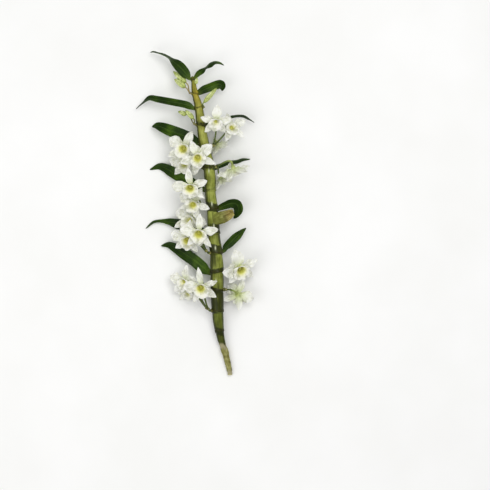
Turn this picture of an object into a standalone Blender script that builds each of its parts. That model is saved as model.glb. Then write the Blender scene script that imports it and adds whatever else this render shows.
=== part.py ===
# Dendrobium orchid stem, cut at its base and lying on its back.
# The cane runs along Y with its tip at +Y, and the flowers face up.
# Leaves come from both sides of the cane, and most sprays come from the side
# across from a leaf.

import math
import random

import bmesh
import bpy
from mathutils import Matrix, Vector

# Plan of the stem: steps of 1.5 mm, x to the right, y down from above the tip.
# Heights over the surface are in millimetres.
MM = 0.001
PLAN_STEP = 1.5 * MM
SEAT_GAP = 0.3 * MM
SLIVER = 0.01 * MM
WELD = 0.001 * MM

# Thickness of the living parts
LEAF_THICK = 0.9 * MM
PETAL_THICK = 0.8 * MM
LIP_THICK = 0.8 * MM
SHEATH_THICK = 0.7 * MM

# Flower sizes in millimetres, from the middle of the throat
SEPAL_LENGTH = 26.5
SEPAL_HALF = 5.8
SEPAL_ROOT_HEIGHT = -10.2
PETAL_LENGTH = 26.0
PETAL_HALF = 11.2
PETAL_ROOT_HEIGHT = -8.6
# A petal of a half-open flower shows narrower, by its lift over this
PETAL_SLIM = 110
PETAL_TURN = 80
SIDE_SEPAL_TURN = 141
# How wide each one is along its length, as a share of its greatest half width
SEPAL_STOPS = [(0, 0.3), (0.3, 0.84), (0.55, 1.0), (0.8, 0.66), (1, 0.1)]
PETAL_STOPS = [(0, 0.18), (0.3, 0.7), (0.6, 1.0), (0.85, 0.74), (1, 0.16)]
# Sepals stand a little flatter than the petals, in degrees off the common lift
SEPAL_LIFT = -4
PETAL_LIFT = 2
TEPAL_ROOT = 1.2
TEPAL_AXIS_Y = 2.6
TEPAL_ROWS = 4
TEPAL_CURL = 22
TEPAL_CUP = 0.22
# How far each sepal or petal may turn and lift off the common pattern, in degrees
TEPAL_SWAY = 2.5
# Lip rings from the root to the rim: middle y, height, half width, half height
LIP_RINGS = [
    (2.3, -7.2, 2.3, 2.3),
    (0.4, -2.2, 6.4, 6.0),
    (-1.8, 1.4, 12.2, 11.2),
]
LIP_SIDES = 9
# A half-open flower's trumpet is narrower, by the lift of its petals past the first
# of these over the second
OPEN_LIFT = 20
LIP_SLIM = 60
RIM_DROOP = 1.6
SIDE_DROOP = 1.0
# Ovary neck and column, back to front: middle y, height and radius
COLUMN_LINE = [
    (4.2, -15.0, 1.7),
    (3.0, -11.0, 2.8),
    (2.4, -8.0, 3.5),
    (1.8, -4.0, 2.2),
]
NECK_END = (0.0, 4.2, -15.0)
NECK_DIRECTION = (0.0, 0.3, -1.0)

# Stalk sizes in millimetres
PEDUNCLE_LENGTH = 6.0
PEDUNCLE_RADIUS = 2.1
PEDUNCLE_TAPER = (1.0, 0.95, 0.7)
PEDUNCLE_UPTURN = 0.5
PEDUNCLE_ELBOW = 0.35
FORK_START = 0.2
FORK_STEP = 0.25
PEDICEL_RADIUS = 1.25
OVARY_RADIUS = 1.7
BUD_STALK_RADIUS = 1.0
BUD_STALK_SLIM = 0.68
PEDICEL_POINTS = 7
PEDICEL_PULL = 0.36
PEDICEL_AIM = 0.6
OVARY_START = 0.6
PEDICEL_SEAT = 1.6

# Cane middle line on the plan with its height and radius in millimetres
CANE_LINE = [
    (192.3, 76.0, 31.0, 2.0),
    (193.5, 82.0, 31.5, 3.4),
    (195.0, 94.0, 32.5, 4.6),
    (198.5, 106.0, 33.5, 5.7),
    (200.0, 116.0, 34.0, 6.4),
    (201.0, 125.0, 34.0, 6.6),
    (203.0, 138.0, 34.0, 7.1),
    (205.0, 150.0, 34.0, 7.7),
    (208.0, 163.0, 34.0, 8.5),
    (210.0, 178.0, 33.5, 8.3),
    (210.5, 195.0, 33.0, 8.1),
    (212.5, 211.0, 32.5, 8.4),
    (213.5, 226.0, 31.5, 8.6),
    (214.5, 240.0, 30.5, 8.7),
    (216.0, 252.0, 29.5, 9.0),
    (217.0, 270.0, 27.0, 9.6),
    (217.0, 290.0, 23.5, 9.5),
    (217.5, 311.0, 18.5, 8.6),
    (218.5, 325.0, 14.5, 7.2),
    (221.0, 340.0, 10.5, 5.4),
    (225.0, 353.0, 7.2, 4.2),
    (228.0, 366.0, 4.8, 3.8),
    (230.0, 376.0, 3.54, 3.7),
]
# Places of the ring scars, which are also where leaves and sprays come out
CANE_RINGS = [80, 94, 108, 125, 148, 168, 190, 209, 233, 253, 272, 290, 311, 331, 353]
# A ring's half length on the plan, where its swelling starts above the scar and
# its waist lies below it, in that half length, and the swell and waist themselves
RING_HALF = 0.7
RING_START = 2.4
RING_WAIST_PLACE = 2.2
RING_SWELL = 1.07
RING_WAIST = 0.95
CUT_END = 8
CANE_BEVEL_RESOLUTION = 3

# Leaves from base to tip: plan x, plan y, height, half width in millimetres,
# and the roll of the blade in degrees, where 0 lies flat and 90 stands on edge
LEAVES = {
    "leaf_left_1": [
        (189.4, 78.6, 31.5, 2.6, 0),
        (186, 74.2, 31.5, 7.0, 0),
        (180.6, 68, 30, 8.0, 8),
        (175, 62.6, 27.5, 7.5, 32),
        (169.5, 58.0, 24.5, 7.0, 72),
        (161, 53.6, 20, 5.6, 80),
        (153.5, 51.2, 15, 3.6, 82),
        (149.6, 51.4, 12, 0.8, 82),
    ],
    "leaf_right_1": [
        (195.2, 77.2, 31.5, 2.6, 20),
        (199, 73, 32.5, 4.6, 38),
        (203, 70, 32, 5.2, 55),
        (206.5, 67.4, 31, 5.0, 78),
        (210.5, 64.4, 29, 5.2, 58),
        (215, 62.3, 26, 4.6, 60),
        (220, 62.8, 22, 2.8, 70),
        (223.8, 64.6, 18.5, 0.8, 72),
    ],
    "leaf_left_2": [
        (193.6, 108.4, 33, 2.8, 5),
        (189, 106.2, 34, 5.4, 18),
        (183, 104.4, 34, 6.0, 24),
        (170, 101.7, 32, 6.2, 30),
        (157, 99.4, 28, 6.0, 34),
        (149, 98.2, 23.5, 5.0, 42),
        (142, 102.4, 16.5, 3.2, 68),
        (135.4, 108, 10, 0.8, 75),
    ],
    "leaf_right_2": [
        (199.0, 92.6, 32, 4.2, 10),
        (204, 89.8, 34, 6.0, 16),
        (210, 87.4, 34.5, 6.4, 20),
        (216, 85.3, 33, 6.6, 16),
        (220.2, 84.4, 29.5, 6.6, 4),
        (222.2, 86.6, 24.5, 5.2, -8),
        (222.2, 90.2, 19, 0.8, -8),
    ],
    "leaf_left_3": [
        (196.8, 145.2, 31, 3.0, 0),
        (194, 141.5, 30.5, 8.0, 6),
        (186, 136.7, 29, 9.0, 10),
        (171.4, 131, 25.5, 9.0, 10),
        (163, 127.4, 21, 7.8, 14),
        (156.5, 125.2, 15.5, 5.2, 24),
        (151.5, 126, 10.5, 0.9, 34),
    ],
    "leaf_right_3": [
        (206.6, 125, 32.5, 3.6, 25),
        (212, 122, 31, 5.4, 55),
        (223.8, 119.4, 28, 5.8, 62),
        (232.3, 116.2, 24.5, 4.8, 66),
        (242, 115.5, 19, 4.0, 70),
        (249, 118.2, 13, 2.8, 74),
        (254.2, 121.6, 8.5, 0.8, 74),
    ],
    "leaf_left_4": [
        (204.8, 189.8, 27, 3.6, -20),
        (196, 185, 19, 7.0, -6),
        (183, 178, 12, 8.4, 0),
        (171.4, 171.3, 7.0, 8.0, 0),
        (164.8, 167.4, 4.4, 6.6, 0),
        (158, 165.8, 2.2, 4.6, 0),
        (149, 169, 0.5, 0.9, 0),
    ],
    "leaf_right_4": [
        (215.2, 168.0, 30, 3.2, 15),
        (219, 165.6, 27, 5.0, 52),
        (227, 162.7, 20.5, 5.4, 60),
        (236, 160.7, 12.5, 5.0, 60),
        (243, 159.2, 6.5, 3.8, 58),
        (250, 158.4, 1.2, 0.8, 50),
    ],
    "leaf_left_5": [
        (208.1, 233.8, 26, 3.6, -20),
        (200, 230.4, 17.5, 6.4, -6),
        (188, 226, 11.5, 7.5, 0),
        (177.5, 224, 8.8, 7.5, 4),
        (170, 221.8, 7.4, 5.6, 14),
        (161.5, 221, 5.2, 3.6, 40),
        (152.4, 222.4, 3.6, 2.6, 50),
        (144.9, 228.4, 2.2, 0.8, 50),
    ],
    "leaf_right_5": [
        (219.0, 208, 31, 4.4, 20),
        (225, 205.2, 33, 6.4, 34),
        (231, 203.4, 33, 7.2, 28),
        (236.6, 204.4, 29.5, 7.4, 12),
        (238.4, 209.4, 24, 6.8, 0),
        (236.6, 214.6, 17.5, 4.4, -6),
        (233.8, 218.2, 12, 0.9, -6),
    ],
    "leaf_left_6": [
        (209.6, 272.2, 23, 4.4, -14),
        (203, 268, 19.5, 8.6, -4),
        (193, 259.8, 16, 9.0, 0),
        (184, 253.6, 13, 8.8, 0),
        (175, 248, 9.5, 7.0, 0),
        (168, 245, 6.5, 4.4, 4),
        (160.6, 246, 3.5, 0.9, 8),
    ],
    "leaf_right_6": [
        (223.6, 251.0, 28.5, 2.8, 5),
        (226, 246.8, 27.5, 5.0, 12),
        (230.5, 242.4, 26, 6.4, 14),
        (236, 237, 23, 6.4, 20),
        (241, 232.5, 19, 4.8, 30),
        (246, 228, 14, 0.9, 38),
    ],
}
# The two leaves whose tips carry the upper part of the stem on the surface
RESTING_LEAVES = ("leaf_left_4", "leaf_right_4")
LEAF_ROWS = 9
LEAF_FOLD = 0.16
BLADE_STEP = 0.02
BLADE_LEAST_HALF = 0.5

# Dry sheath that stands off the cane under the fifth right leaf
SHEATH_LINE = [
    (220.8, 222.8, 31, 1.8, 10),
    (222, 220.8, 32, 6.4, 14),
    (225.6, 216.6, 32.2, 8.2, 18),
    (229.6, 213.6, 31, 6.8, 22),
    (233, 211.8, 28.5, 4.0, 24),
]
SHEATH_ROWS = 8
SHEATH_FOLD = 0.5

# Flowers: plan place and height of the throat, where the flower faces, how far
# it leans that way from straight up, where its back sepal points, how far its
# petals stand forward of flat, and its size
BLOOMS = {
    "bloom_a1": (183.0, 149.8, 51, 180, 12, 68, 14, 1.0),
    "bloom_a2": (198.0, 160.0, 73, 215, 16, 118, 12, 1.0),
    "bloom_a3": (184.0, 165.5, 30, 235, 12, 88, 12, 0.88),
    "bloom_b1": (216.0, 124.6, 60, 270, 16, 86, 16, 0.84),
    "bloom_b2": (232.5, 128.0, 44, 60, 24, 104, 22, 0.88),
    "bloom_b3": (219.0, 147.2, 22, 300, 130, 120, 32, 0.76),
    "bloom_c1": (235.0, 173.6, 45, 285, 124, 108, 28, 0.95),
    "bloom_c2": (223.0, 180.8, 20.5, 300, 130, 118, 34, 0.76),
    "bloom_d1": (190.4, 189.8, 70, 235, 20, 96, 12, 1.0),
    "bloom_d2": (193.0, 205.8, 50, 270, 12, 62, 12, 0.9),
    "bloom_e1": (188.5, 221.0, 34, 150, 10, 64, 14, 0.95),
    "bloom_e2": (198.8, 235.0, 64, 235, 14, 88, 12, 1.0),
    "bloom_e3": (187.3, 241.6, 43, 250, 22, 80, 14, 0.98),
    "bloom_f1": (200.7, 288.9, 54, 225, 18, 100, 12, 1.0),
    "bloom_f2": (182.0, 283.0, 34, 190, 34, 78, 22, 0.92),
    "bloom_f3": (187.5, 295.2, 16.5, 258, 36, 86, 20, 0.72),
    "bloom_g1": (242.0, 271.3, 43, 320, 34, 110, 16, 1.1),
    "bloom_g2": (239.2, 296.6, 16.5, 340, 152, 62, 14, 0.92),
}
# Narrow sepals and petals of some flowers, as a share of the usual width: the back
# sepal, the left and right side sepals, and the left and right petals
BLOOM_WIDTHS = {
    "bloom_a1": (1, 1, 1, 1, 0.85),
    "bloom_a2": (1, 0.9, 0.9, 0.65, 0.9),
    "bloom_b1": (1.4, 1, 1, 0.65, 0.8),
    "bloom_d1": (1, 0.9, 0.8, 0.85, 0.6),
    "bloom_d2": (1, 0.7, 1, 1, 0.6),
    "bloom_e2": (0.9, 0.9, 0.9, 0.9, 0.62),
    "bloom_f1": (0.9, 0.9, 1.1, 0.9, 0.45),
    "bloom_g1": (1.5, 1, 0.9, 1.1, 0.6),
    "bloom_g2": (0.9, 1.1, 1, 1, 1.1),
}
USUAL_WIDTHS = (1, 1, 1, 1, 1)

# Stalks: ring where the stalk leaves the cane, side (-1 left, 1 right), how far
# round towards the top it sits in degrees, and the flowers that it carries
# and how far each one's stalk bows up or down on its way, in millimetres
BLOOM_STALKS = {
    "stalk_a": (168, -1, -20, (("bloom_a1", 8), ("bloom_a2", 8), ("bloom_a3", -9))),
    "stalk_b": (148, 1, 25, (("bloom_b1", 0), ("bloom_b2", 0), ("bloom_b3", 0))),
    "stalk_c": (168, 1, 38, (("bloom_c1", 2), ("bloom_c2", 5))),
    "stalk_d": (209, -1, 25, (("bloom_d1", 0), ("bloom_d2", -3))),
    "stalk_e": (253, -1, 25, (("bloom_e1", 6), ("bloom_e2", 0), ("bloom_e3", -8))),
    "stalk_f": (311, -1, 20, (("bloom_f1", 3), ("bloom_f2", 8), ("bloom_f3", -3))),
    "stalk_g": (272, 1, 20, (("bloom_g1", 0),)),
    "stalk_h": (290, 1, 10, (("bloom_g2", 0),)),
}

# Buds: base and tip on the plan with their heights, and the greatest radius in
# millimetres
BUDS = {
    "bud_left_1": ((186.0, 82.6, 29), (173.0, 70.8, 22), 4.4),
    "bud_left_2": ((185.4, 87.4, 33), (174.2, 78.8, 26), 4.4),
    "bud_right": ((203.8, 103.0, 37), (217.1, 88.6, 44), 3.6),
    "bud_left_3": ((186.4, 114.4, 26), (178.0, 111.0, 23), 3.6),
    "bud_left_4": ((193.6, 118.8, 34), (185.5, 110.5, 36), 3.6),
    "bud_top": ((195.9, 84.4, 35.6), (197.2, 78.0, 37.5), 2.7),
}
BUD_STALKS = {
    "bud_stalk_left": (94, -1, 20, (("bud_left_1", 0), ("bud_left_2", 0))),
    "bud_stalk_right": (108, 1, 30, (("bud_right", 0),)),
    "bud_stalk_low": (125, -1, 10, (("bud_left_3", 0), ("bud_left_4", 0))),
}
BUD_SIDES = 8
BUD_RINGS = 6
BUD_BASE_WIDTH = 1.12
BUD_TAPER = 0.5
BUD_CHIN = 0.25
BUD_CHIN_PLACE = 0.2
BUD_CHIN_SPREAD = 0.02

# Colours as seen by the eye, with roughness
CANE_LOOK = ("#8a9040", 0.42)
LEAF_LOOK = ("#2f5514", 0.35)
SHEATH_LOOK = ("#a08a5c", 0.8)
STALK_LOOK = ("#7d7a4a", 0.5)
BUD_LOOK = ("#c0cf76", 0.45)
BLOOM_LOOK = ("#e8e8e2", 0.55)


# Small helpers
def plan(x, y, z):
    return Vector((x * PLAN_STEP, -y * PLAN_STEP, z * MM))


def local(x, y, z):
    return Vector((x * MM, y * MM, z * MM))


def screen_direction(degrees):
    angle = math.radians(degrees)
    return Vector((math.cos(angle), math.sin(angle), 0.0))


def between(stops, u):
    """Value at u on a soft line through (u, value) stops."""
    for (u0, v0), (u1, v1) in zip(stops, stops[1:]):
        if u <= u1:
            t = (u - u0) / (u1 - u0)
            t = t * t * (3 - 2 * t)
            return v0 + (v1 - v0) * t
    return stops[-1][1]


def spline_point(rows, t):
    """Point on the smooth line through equal rows of numbers, t from 0 to 1."""
    place = t * (len(rows) - 1)
    i = min(int(place), len(rows) - 2)
    f = place - i
    before = rows[max(i - 1, 0)]
    start = rows[i]
    end = rows[i + 1]
    after = rows[min(i + 2, len(rows) - 1)]
    point = []
    for a, b, c, d in zip(before, start, end, after):
        value = 2 * b + (c - a) * f
        value += (2 * a - 5 * b + 4 * c - d) * f * f
        value += (3 * b - a - 3 * c + d) * f * f * f
        point.append(value / 2)
    return point


def linear(hex_colour):
    channels = []
    for start in (1, 3, 5):
        value = int(hex_colour[start : start + 2], 16) / 255
        if value <= 0.04045:
            channels.append(value / 12.92)
        else:
            channels.append(((value + 0.055) / 1.055) ** 2.4)
    return (*channels, 1.0)


def make_material(name, look):
    material = bpy.data.materials.new(name)
    material.use_nodes = True
    shader = material.node_tree.nodes["Principled BSDF"]
    shader.inputs["Base Color"].default_value = linear(look[0])
    shader.inputs["Roughness"].default_value = look[1]
    shader.inputs["Metallic"].default_value = 0.0
    return material


def link(obj):
    bpy.context.scene.collection.objects.link(obj)
    return obj


def finish(obj, parent, material):
    obj.data.materials.clear()
    obj.data.materials.append(material)
    obj.parent = parent
    return obj


def evaluated_mesh(obj):
    graph = bpy.context.evaluated_depsgraph_get()
    return bpy.data.meshes.new_from_object(obj.evaluated_get(graph))


def apply_modifiers(obj):
    bpy.context.view_layer.update()
    mesh = evaluated_mesh(obj)
    obj.modifiers.clear()
    obj.data = mesh
    return obj


def smooth(obj):
    obj.data.shade_smooth()
    obj.data.set_sharp_from_angle(angle=math.radians(50))
    return obj


# Shapes shared by several pieces
def sheet(name, rows, columns, place, thickness):
    """Thin blade: a flat grid bent by place(u, v), u along and v across."""
    bm = bmesh.new()
    bmesh.ops.create_grid(bm, x_segments=rows, y_segments=columns, size=1.0)
    for vert in bm.verts:
        vert.co = place((vert.co.x + 1) / 2, vert.co.y)
    bmesh.ops.triangulate(bm, faces=bm.faces[:])
    mesh = bpy.data.meshes.new(name)
    bm.to_mesh(mesh)
    bm.free()
    obj = link(bpy.data.objects.new(name, mesh))
    solid = obj.modifiers.new("Thickness", "SOLIDIFY")
    solid.thickness = thickness
    solid.offset = 0.0
    return obj


def tube(name, points, radii, bevel_resolution):
    """Round tube along points, with a radius in metres at each one."""
    curve = bpy.data.curves.new(name, "CURVE")
    curve.dimensions = "3D"
    curve.bevel_depth = MM
    curve.bevel_resolution = bevel_resolution
    curve.use_fill_caps = True
    spline = curve.splines.new("POLY")
    spline.points.add(len(points) - 1)
    for target, point, radius in zip(spline.points, points, radii):
        target.co = (*point, 1.0)
        target.radius = radius / MM
    return link(bpy.data.objects.new(name, curve))


def to_mesh(obj):
    """Turn a curve into a mesh object of the same name, with its caps sewn on."""
    name = obj.name
    bpy.context.view_layer.update()
    mesh = evaluated_mesh(obj)
    bpy.data.objects.remove(obj, do_unlink=True)
    bm = bmesh.new()
    bm.from_mesh(mesh)
    bmesh.ops.remove_doubles(bm, verts=bm.verts[:], dist=WELD)
    bmesh.ops.recalc_face_normals(bm, faces=bm.faces[:])
    bm.to_mesh(mesh)
    bm.free()
    return link(bpy.data.objects.new(name, mesh))


def drop_slivers(mesh):
    """Clear the needle-thin faces that a union leaves along its seams."""
    bm = bmesh.new()
    bm.from_mesh(mesh)
    bmesh.ops.triangulate(bm, faces=bm.faces[:])
    bmesh.ops.dissolve_degenerate(bm, edges=bm.edges[:], dist=SLIVER)
    bmesh.ops.triangulate(bm, faces=bm.faces[:])
    bm.to_mesh(mesh)
    bm.free()


def union(base, others):
    """Fuse the others into the base as one solid."""
    group = bpy.data.collections.new(base.name + "_pieces")
    bpy.context.scene.collection.children.link(group)
    for other in others:
        bpy.context.scene.collection.objects.unlink(other)
        group.objects.link(other)
    fuse = base.modifiers.new("Fuse", "BOOLEAN")
    fuse.operation = "UNION"
    fuse.operand_type = "COLLECTION"
    fuse.collection = group
    fuse.solver = "EXACT"
    apply_modifiers(base)
    for other in others:
        bpy.data.objects.remove(other, do_unlink=True)
    bpy.data.collections.remove(group)
    drop_slivers(base.data)
    return base


# Cane
def cane_at(y):
    """Middle of the cane and its radius at a place on the plan."""
    for above, below in zip(CANE_LINE, CANE_LINE[1:]):
        if y <= below[1]:
            break
    t = (y - above[1]) / (below[1] - above[1])
    x, y, z, radius = [a + (b - a) * t for a, b in zip(above, below)]
    return plan(x, y, z), radius * MM


def cane_stations():
    """Places along the cane, with each ring a low swelling over a waist."""
    stations = []
    for ring in CANE_RINGS:
        stations.append((ring - RING_START * RING_HALF, 1.0))
        stations.append((ring - RING_HALF, RING_SWELL))
        stations.append((ring + RING_HALF, RING_SWELL))
        stations.append((ring + RING_WAIST_PLACE * RING_HALF, RING_WAIST))
    for above, below in zip(CANE_RINGS, CANE_RINGS[1:]):
        stations.append(((above + below) / 2, 1.0))
    stations.append((CANE_LINE[0][1], 1.0))
    stations.append((CANE_LINE[-1][1] - CUT_END, 1.0))
    stations.append((CANE_LINE[-1][1], 1.0))
    return sorted(stations)


def make_cane():
    points = []
    radii = []
    for y, swell in cane_stations():
        point, radius = cane_at(y)
        points.append(point)
        radii.append(radius * swell)
    cane = tube("cane", points, radii, CANE_BEVEL_RESOLUTION)
    return smooth(to_mesh(cane))


# Leaves and the dry sheath
def blade(name, line, rows, fold, thickness):
    def place(u, v):
        x, y, z, half, roll = spline_point(line, u)
        middle = plan(x, y, z)
        ahead = plan(*spline_point(line, min(u + BLADE_STEP, 1.0))[:3])
        behind = plan(*spline_point(line, max(u - BLADE_STEP, 0.0))[:3])
        along = (ahead - behind).normalized()
        across = along.cross(Vector((0, 0, 1))).normalized()
        across = Matrix.Rotation(math.radians(roll), 3, along) @ across
        face = across.cross(along)
        half = max(half, BLADE_LEAST_HALF) * MM
        return middle + across * half * v + face * half * fold * v * v

    return smooth(sheet(name, rows, 2, place, thickness))


def make_leaf(name, line):
    leaf = blade(name, line, LEAF_ROWS, LEAF_FOLD, LEAF_THICK)
    if name in RESTING_LEAVES:
        apply_modifiers(leaf)
        leaf.location.z = -min(vert.co.z for vert in leaf.data.vertices)
    return leaf


# Flowers
def tepal_place(length, half, stops, root, turn, lift):
    """Bend of one sepal or petal, which leaves the flower axis at a turn."""
    start = math.radians(lift)
    bend = -math.radians(TEPAL_CURL)
    spin = Matrix.Rotation(math.radians(turn), 3, "Z")

    def place(u, v):
        angle = start + bend * u
        out = length * (math.sin(angle) - math.sin(start)) / bend
        rise = length * (math.cos(start) - math.cos(angle)) / bend
        wide = half * between(stops, u)
        cup = TEPAL_CUP * wide * v * v
        point = local(
            -wide * v,
            TEPAL_ROOT + out - cup * math.sin(angle),
            rise + cup * math.cos(angle),
        )
        return spin @ point + local(0, TEPAL_AXIS_Y, root)

    return place


def make_sepal(name, turn, lift, size, width):
    length = SEPAL_LENGTH * size
    half = SEPAL_HALF * size * width
    root = SEPAL_ROOT_HEIGHT * size
    place = tepal_place(length, half, SEPAL_STOPS, root, turn, lift)
    return apply_modifiers(sheet(name, TEPAL_ROWS, 2, place, PETAL_THICK))


def make_petal(name, turn, lift, size, width):
    length = PETAL_LENGTH * size
    half = PETAL_HALF * size * width * (1 - lift / PETAL_SLIM)
    root = PETAL_ROOT_HEIGHT * size
    place = tepal_place(length, half, PETAL_STOPS, root, turn, lift)
    return apply_modifiers(sheet(name, TEPAL_ROWS, 2, place, PETAL_THICK))


def make_lip(name, size, open_share):
    """Trumpet of the lip: a ring at the root pulled out twice, to the round rim."""
    bm = bmesh.new()
    bmesh.ops.create_circle(bm, cap_ends=False, segments=LIP_SIDES, radius=1.0)
    ring = bm.edges[:]
    for _ in LIP_RINGS[1:]:
        made = bmesh.ops.extrude_edge_only(bm, edges=ring)["geom"]
        fresh = {item for item in made if isinstance(item, bmesh.types.BMVert)}
        bmesh.ops.translate(bm, verts=list(fresh), vec=(0, 0, 1))
        ring = [edge for edge in bm.edges if fresh.issuperset(edge.verts)]
    for vert in bm.verts:
        x, y, number = vert.co
        middle, height, wide, high = LIP_RINGS[round(number)]
        if round(number) == len(LIP_RINGS) - 1:
            height -= RIM_DROOP * max(-y, 0) + SIDE_DROOP * x * x
        x *= open_share
        y *= open_share
        vert.co = local(x * wide * size, (middle + y * high) * size, height * size)
    bmesh.ops.recalc_face_normals(bm, faces=bm.faces[:])
    bmesh.ops.triangulate(bm, faces=bm.faces[:])
    mesh = bpy.data.meshes.new(name)
    bm.to_mesh(mesh)
    bm.free()
    lip = link(bpy.data.objects.new(name, mesh))
    solid = lip.modifiers.new("Thickness", "SOLIDIFY")
    solid.thickness = LIP_THICK
    solid.offset = 0.0
    return apply_modifiers(lip)


def make_column(name, size):
    """Ovary neck behind the flower and the column in its throat, as one piece."""
    points = []
    radii = []
    for y, z, radius in COLUMN_LINE:
        points.append(local(0, y * size, z * size))
        radii.append(radius * size * MM)
    column = tube(name, points, radii, 1)
    return to_mesh(column)


def bloom_matrix(row):
    x, y, z, toward, lean, back, lift, size = row
    lean = math.radians(lean)
    face = screen_direction(toward) * math.sin(lean) + Vector((0, 0, math.cos(lean)))
    up = screen_direction(back)
    up = (up - face * up.dot(face)).normalized()
    side = up.cross(face)
    turn = Matrix((side, up, face)).transposed().to_4x4()
    return Matrix.Translation(plan(x, y, z)) @ turn


def make_bloom(name, row):
    lift = row[6]
    size = row[7]
    widths = BLOOM_WIDTHS.get(name, USUAL_WIDTHS)
    vary = random.Random(name)
    open_share = 1 - max(lift - OPEN_LIFT, 0) / LIP_SLIM
    pieces = [make_lip(name + "_lip", size, open_share)]
    for turn, width in zip((0, SIDE_SEPAL_TURN, -SIDE_SEPAL_TURN), widths):
        turn += vary.uniform(-TEPAL_SWAY, TEPAL_SWAY)
        bent = lift + SEPAL_LIFT + vary.uniform(-TEPAL_SWAY, TEPAL_SWAY)
        pieces.append(make_sepal(name + "_sepal", turn, bent, size, width))
    for turn, width in zip((PETAL_TURN, -PETAL_TURN), widths[3:]):
        turn += vary.uniform(-TEPAL_SWAY, TEPAL_SWAY)
        bent = lift + PETAL_LIFT + vary.uniform(-TEPAL_SWAY, TEPAL_SWAY)
        pieces.append(make_petal(name + "_petal", turn, bent, size, width))
    bloom = union(make_column(name, size), pieces)
    bloom.matrix_world = bloom_matrix(row)
    return smooth(bloom)


# Buds
def make_bud(name, base, tip, radius):
    """Egg-shaped bud with a point at the tip and a small chin near the base."""
    base = plan(*base)
    tip = plan(*tip)
    length = (tip - base).length
    bm = bmesh.new()
    bmesh.ops.create_uvsphere(bm, u_segments=BUD_SIDES, v_segments=BUD_RINGS, radius=1.0)
    for vert in bm.verts:
        along = (vert.co.z + 1) / 2
        wide = radius * MM * (BUD_BASE_WIDTH - BUD_TAPER * along)
        fade = math.exp(-((along - BUD_CHIN_PLACE) ** 2) / BUD_CHIN_SPREAD)
        chin = BUD_CHIN * radius * MM * fade
        vert.co = Vector((vert.co.x * wide, vert.co.y * wide - chin, along * length))
    mesh = bpy.data.meshes.new(name)
    bm.to_mesh(mesh)
    bm.free()
    bud = link(bpy.data.objects.new(name, mesh))
    bud.location = base
    bud.rotation_mode = "QUATERNION"
    bud.rotation_quaternion = (tip - base).to_track_quat("Z", "Y")
    return smooth(bud)


# Stalks
def cane_side(ring, side, rise):
    """Place on the cane's skin at a ring, and the way out from there."""
    middle, radius = cane_at(ring)
    angle = math.radians(rise)
    out = Vector((side * math.cos(angle), 0, math.sin(angle)))
    return middle + out * (radius * RING_SWELL + SEAT_GAP), out


def curved(start, leave, end, arrive, bow):
    """Points on a curve that leaves start one way and arrives at end another."""
    seat = end
    end = end - arrive * PEDICEL_SEAT * MM
    reach = (end - start).length * PEDICEL_PULL
    first = start + leave * reach + Vector((0, 0, bow * MM))
    second = end - arrive * reach + Vector((0, 0, bow * MM))
    points = []
    for i in range(PEDICEL_POINTS):
        t = i / (PEDICEL_POINTS - 1)
        point = start * (1 - t) ** 3 + first * 3 * t * (1 - t) ** 2
        point += second * 3 * t * t * (1 - t) + end * t**3
        points.append(point)
    return points + [seat]


def make_stalk(name, ring, side, rise, ends, slim):
    """Short stalk from the ring that forks to each end: point, arrival, radius, bow."""
    start, out = cane_side(ring, side, rise)
    grow = (out + Vector((0, PEDUNCLE_UPTURN, 0))).normalized()
    reach = PEDUNCLE_LENGTH * slim * MM
    thick = PEDUNCLE_RADIUS * slim * MM
    elbow = start + out * reach * PEDUNCLE_ELBOW
    tip = elbow + grow * reach * (1 - PEDUNCLE_ELBOW)
    radii = [thick * share for share in PEDUNCLE_TAPER]
    peduncle = to_mesh(tube(name, [start, elbow, tip], radii, 2))
    pedicels = []
    for number, (end, arrive, tip_radius, bow) in enumerate(ends):
        fork = elbow + (tip - elbow) * (FORK_START + FORK_STEP * number)
        toward = (end - fork).normalized()
        leave = (grow + toward * PEDICEL_AIM).normalized()
        line = curved(fork, leave, end, arrive, bow)
        widths = []
        for i in range(len(line)):
            along = i / (len(line) - 1)
            swell = max(0.0, along - OVARY_START) / (1 - OVARY_START)
            thin = PEDICEL_RADIUS * slim
            widths.append((thin + (tip_radius - thin) * swell) * MM)
        pedicels.append(to_mesh(tube(name + "_pedicel", line, widths, 1)))
    return smooth(union(peduncle, pedicels))


def bloom_end(row, bow):
    """Point just behind a flower's neck, and the way a stalk arrives there."""
    turn = bloom_matrix(row)
    size = row[7]
    back = Vector(NECK_DIRECTION).normalized()
    point = turn @ (local(*NECK_END) * size + back * SEAT_GAP)
    arrive = turn.to_3x3() @ -back
    return point, arrive, OVARY_RADIUS, bow


def bud_end(row, bow):
    base = plan(*row[0])
    tip = plan(*row[1])
    arrive = (tip - base).normalized()
    return base - arrive * SEAT_GAP, arrive, BUD_STALK_RADIUS, bow


def move_to_frame(origin):
    """Bring the stem to the middle of its frame, with its lowest point at zero."""
    bpy.context.view_layer.update()
    graph = bpy.context.evaluated_depsgraph_get()
    low = Vector((1e9, 1e9, 1e9))
    high = Vector((-1e9, -1e9, -1e9))
    for obj in bpy.data.objects:
        if obj.type != "MESH":
            continue
        shape = obj.evaluated_get(graph)
        for vert in shape.data.vertices:
            co = shape.matrix_world @ vert.co
            low = Vector(map(min, low, co))
            high = Vector(map(max, high, co))
    origin.location = -Vector(((low.x + high.x) / 2, (low.y + high.y) / 2, low.z))
    bpy.context.view_layer.update()


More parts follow.
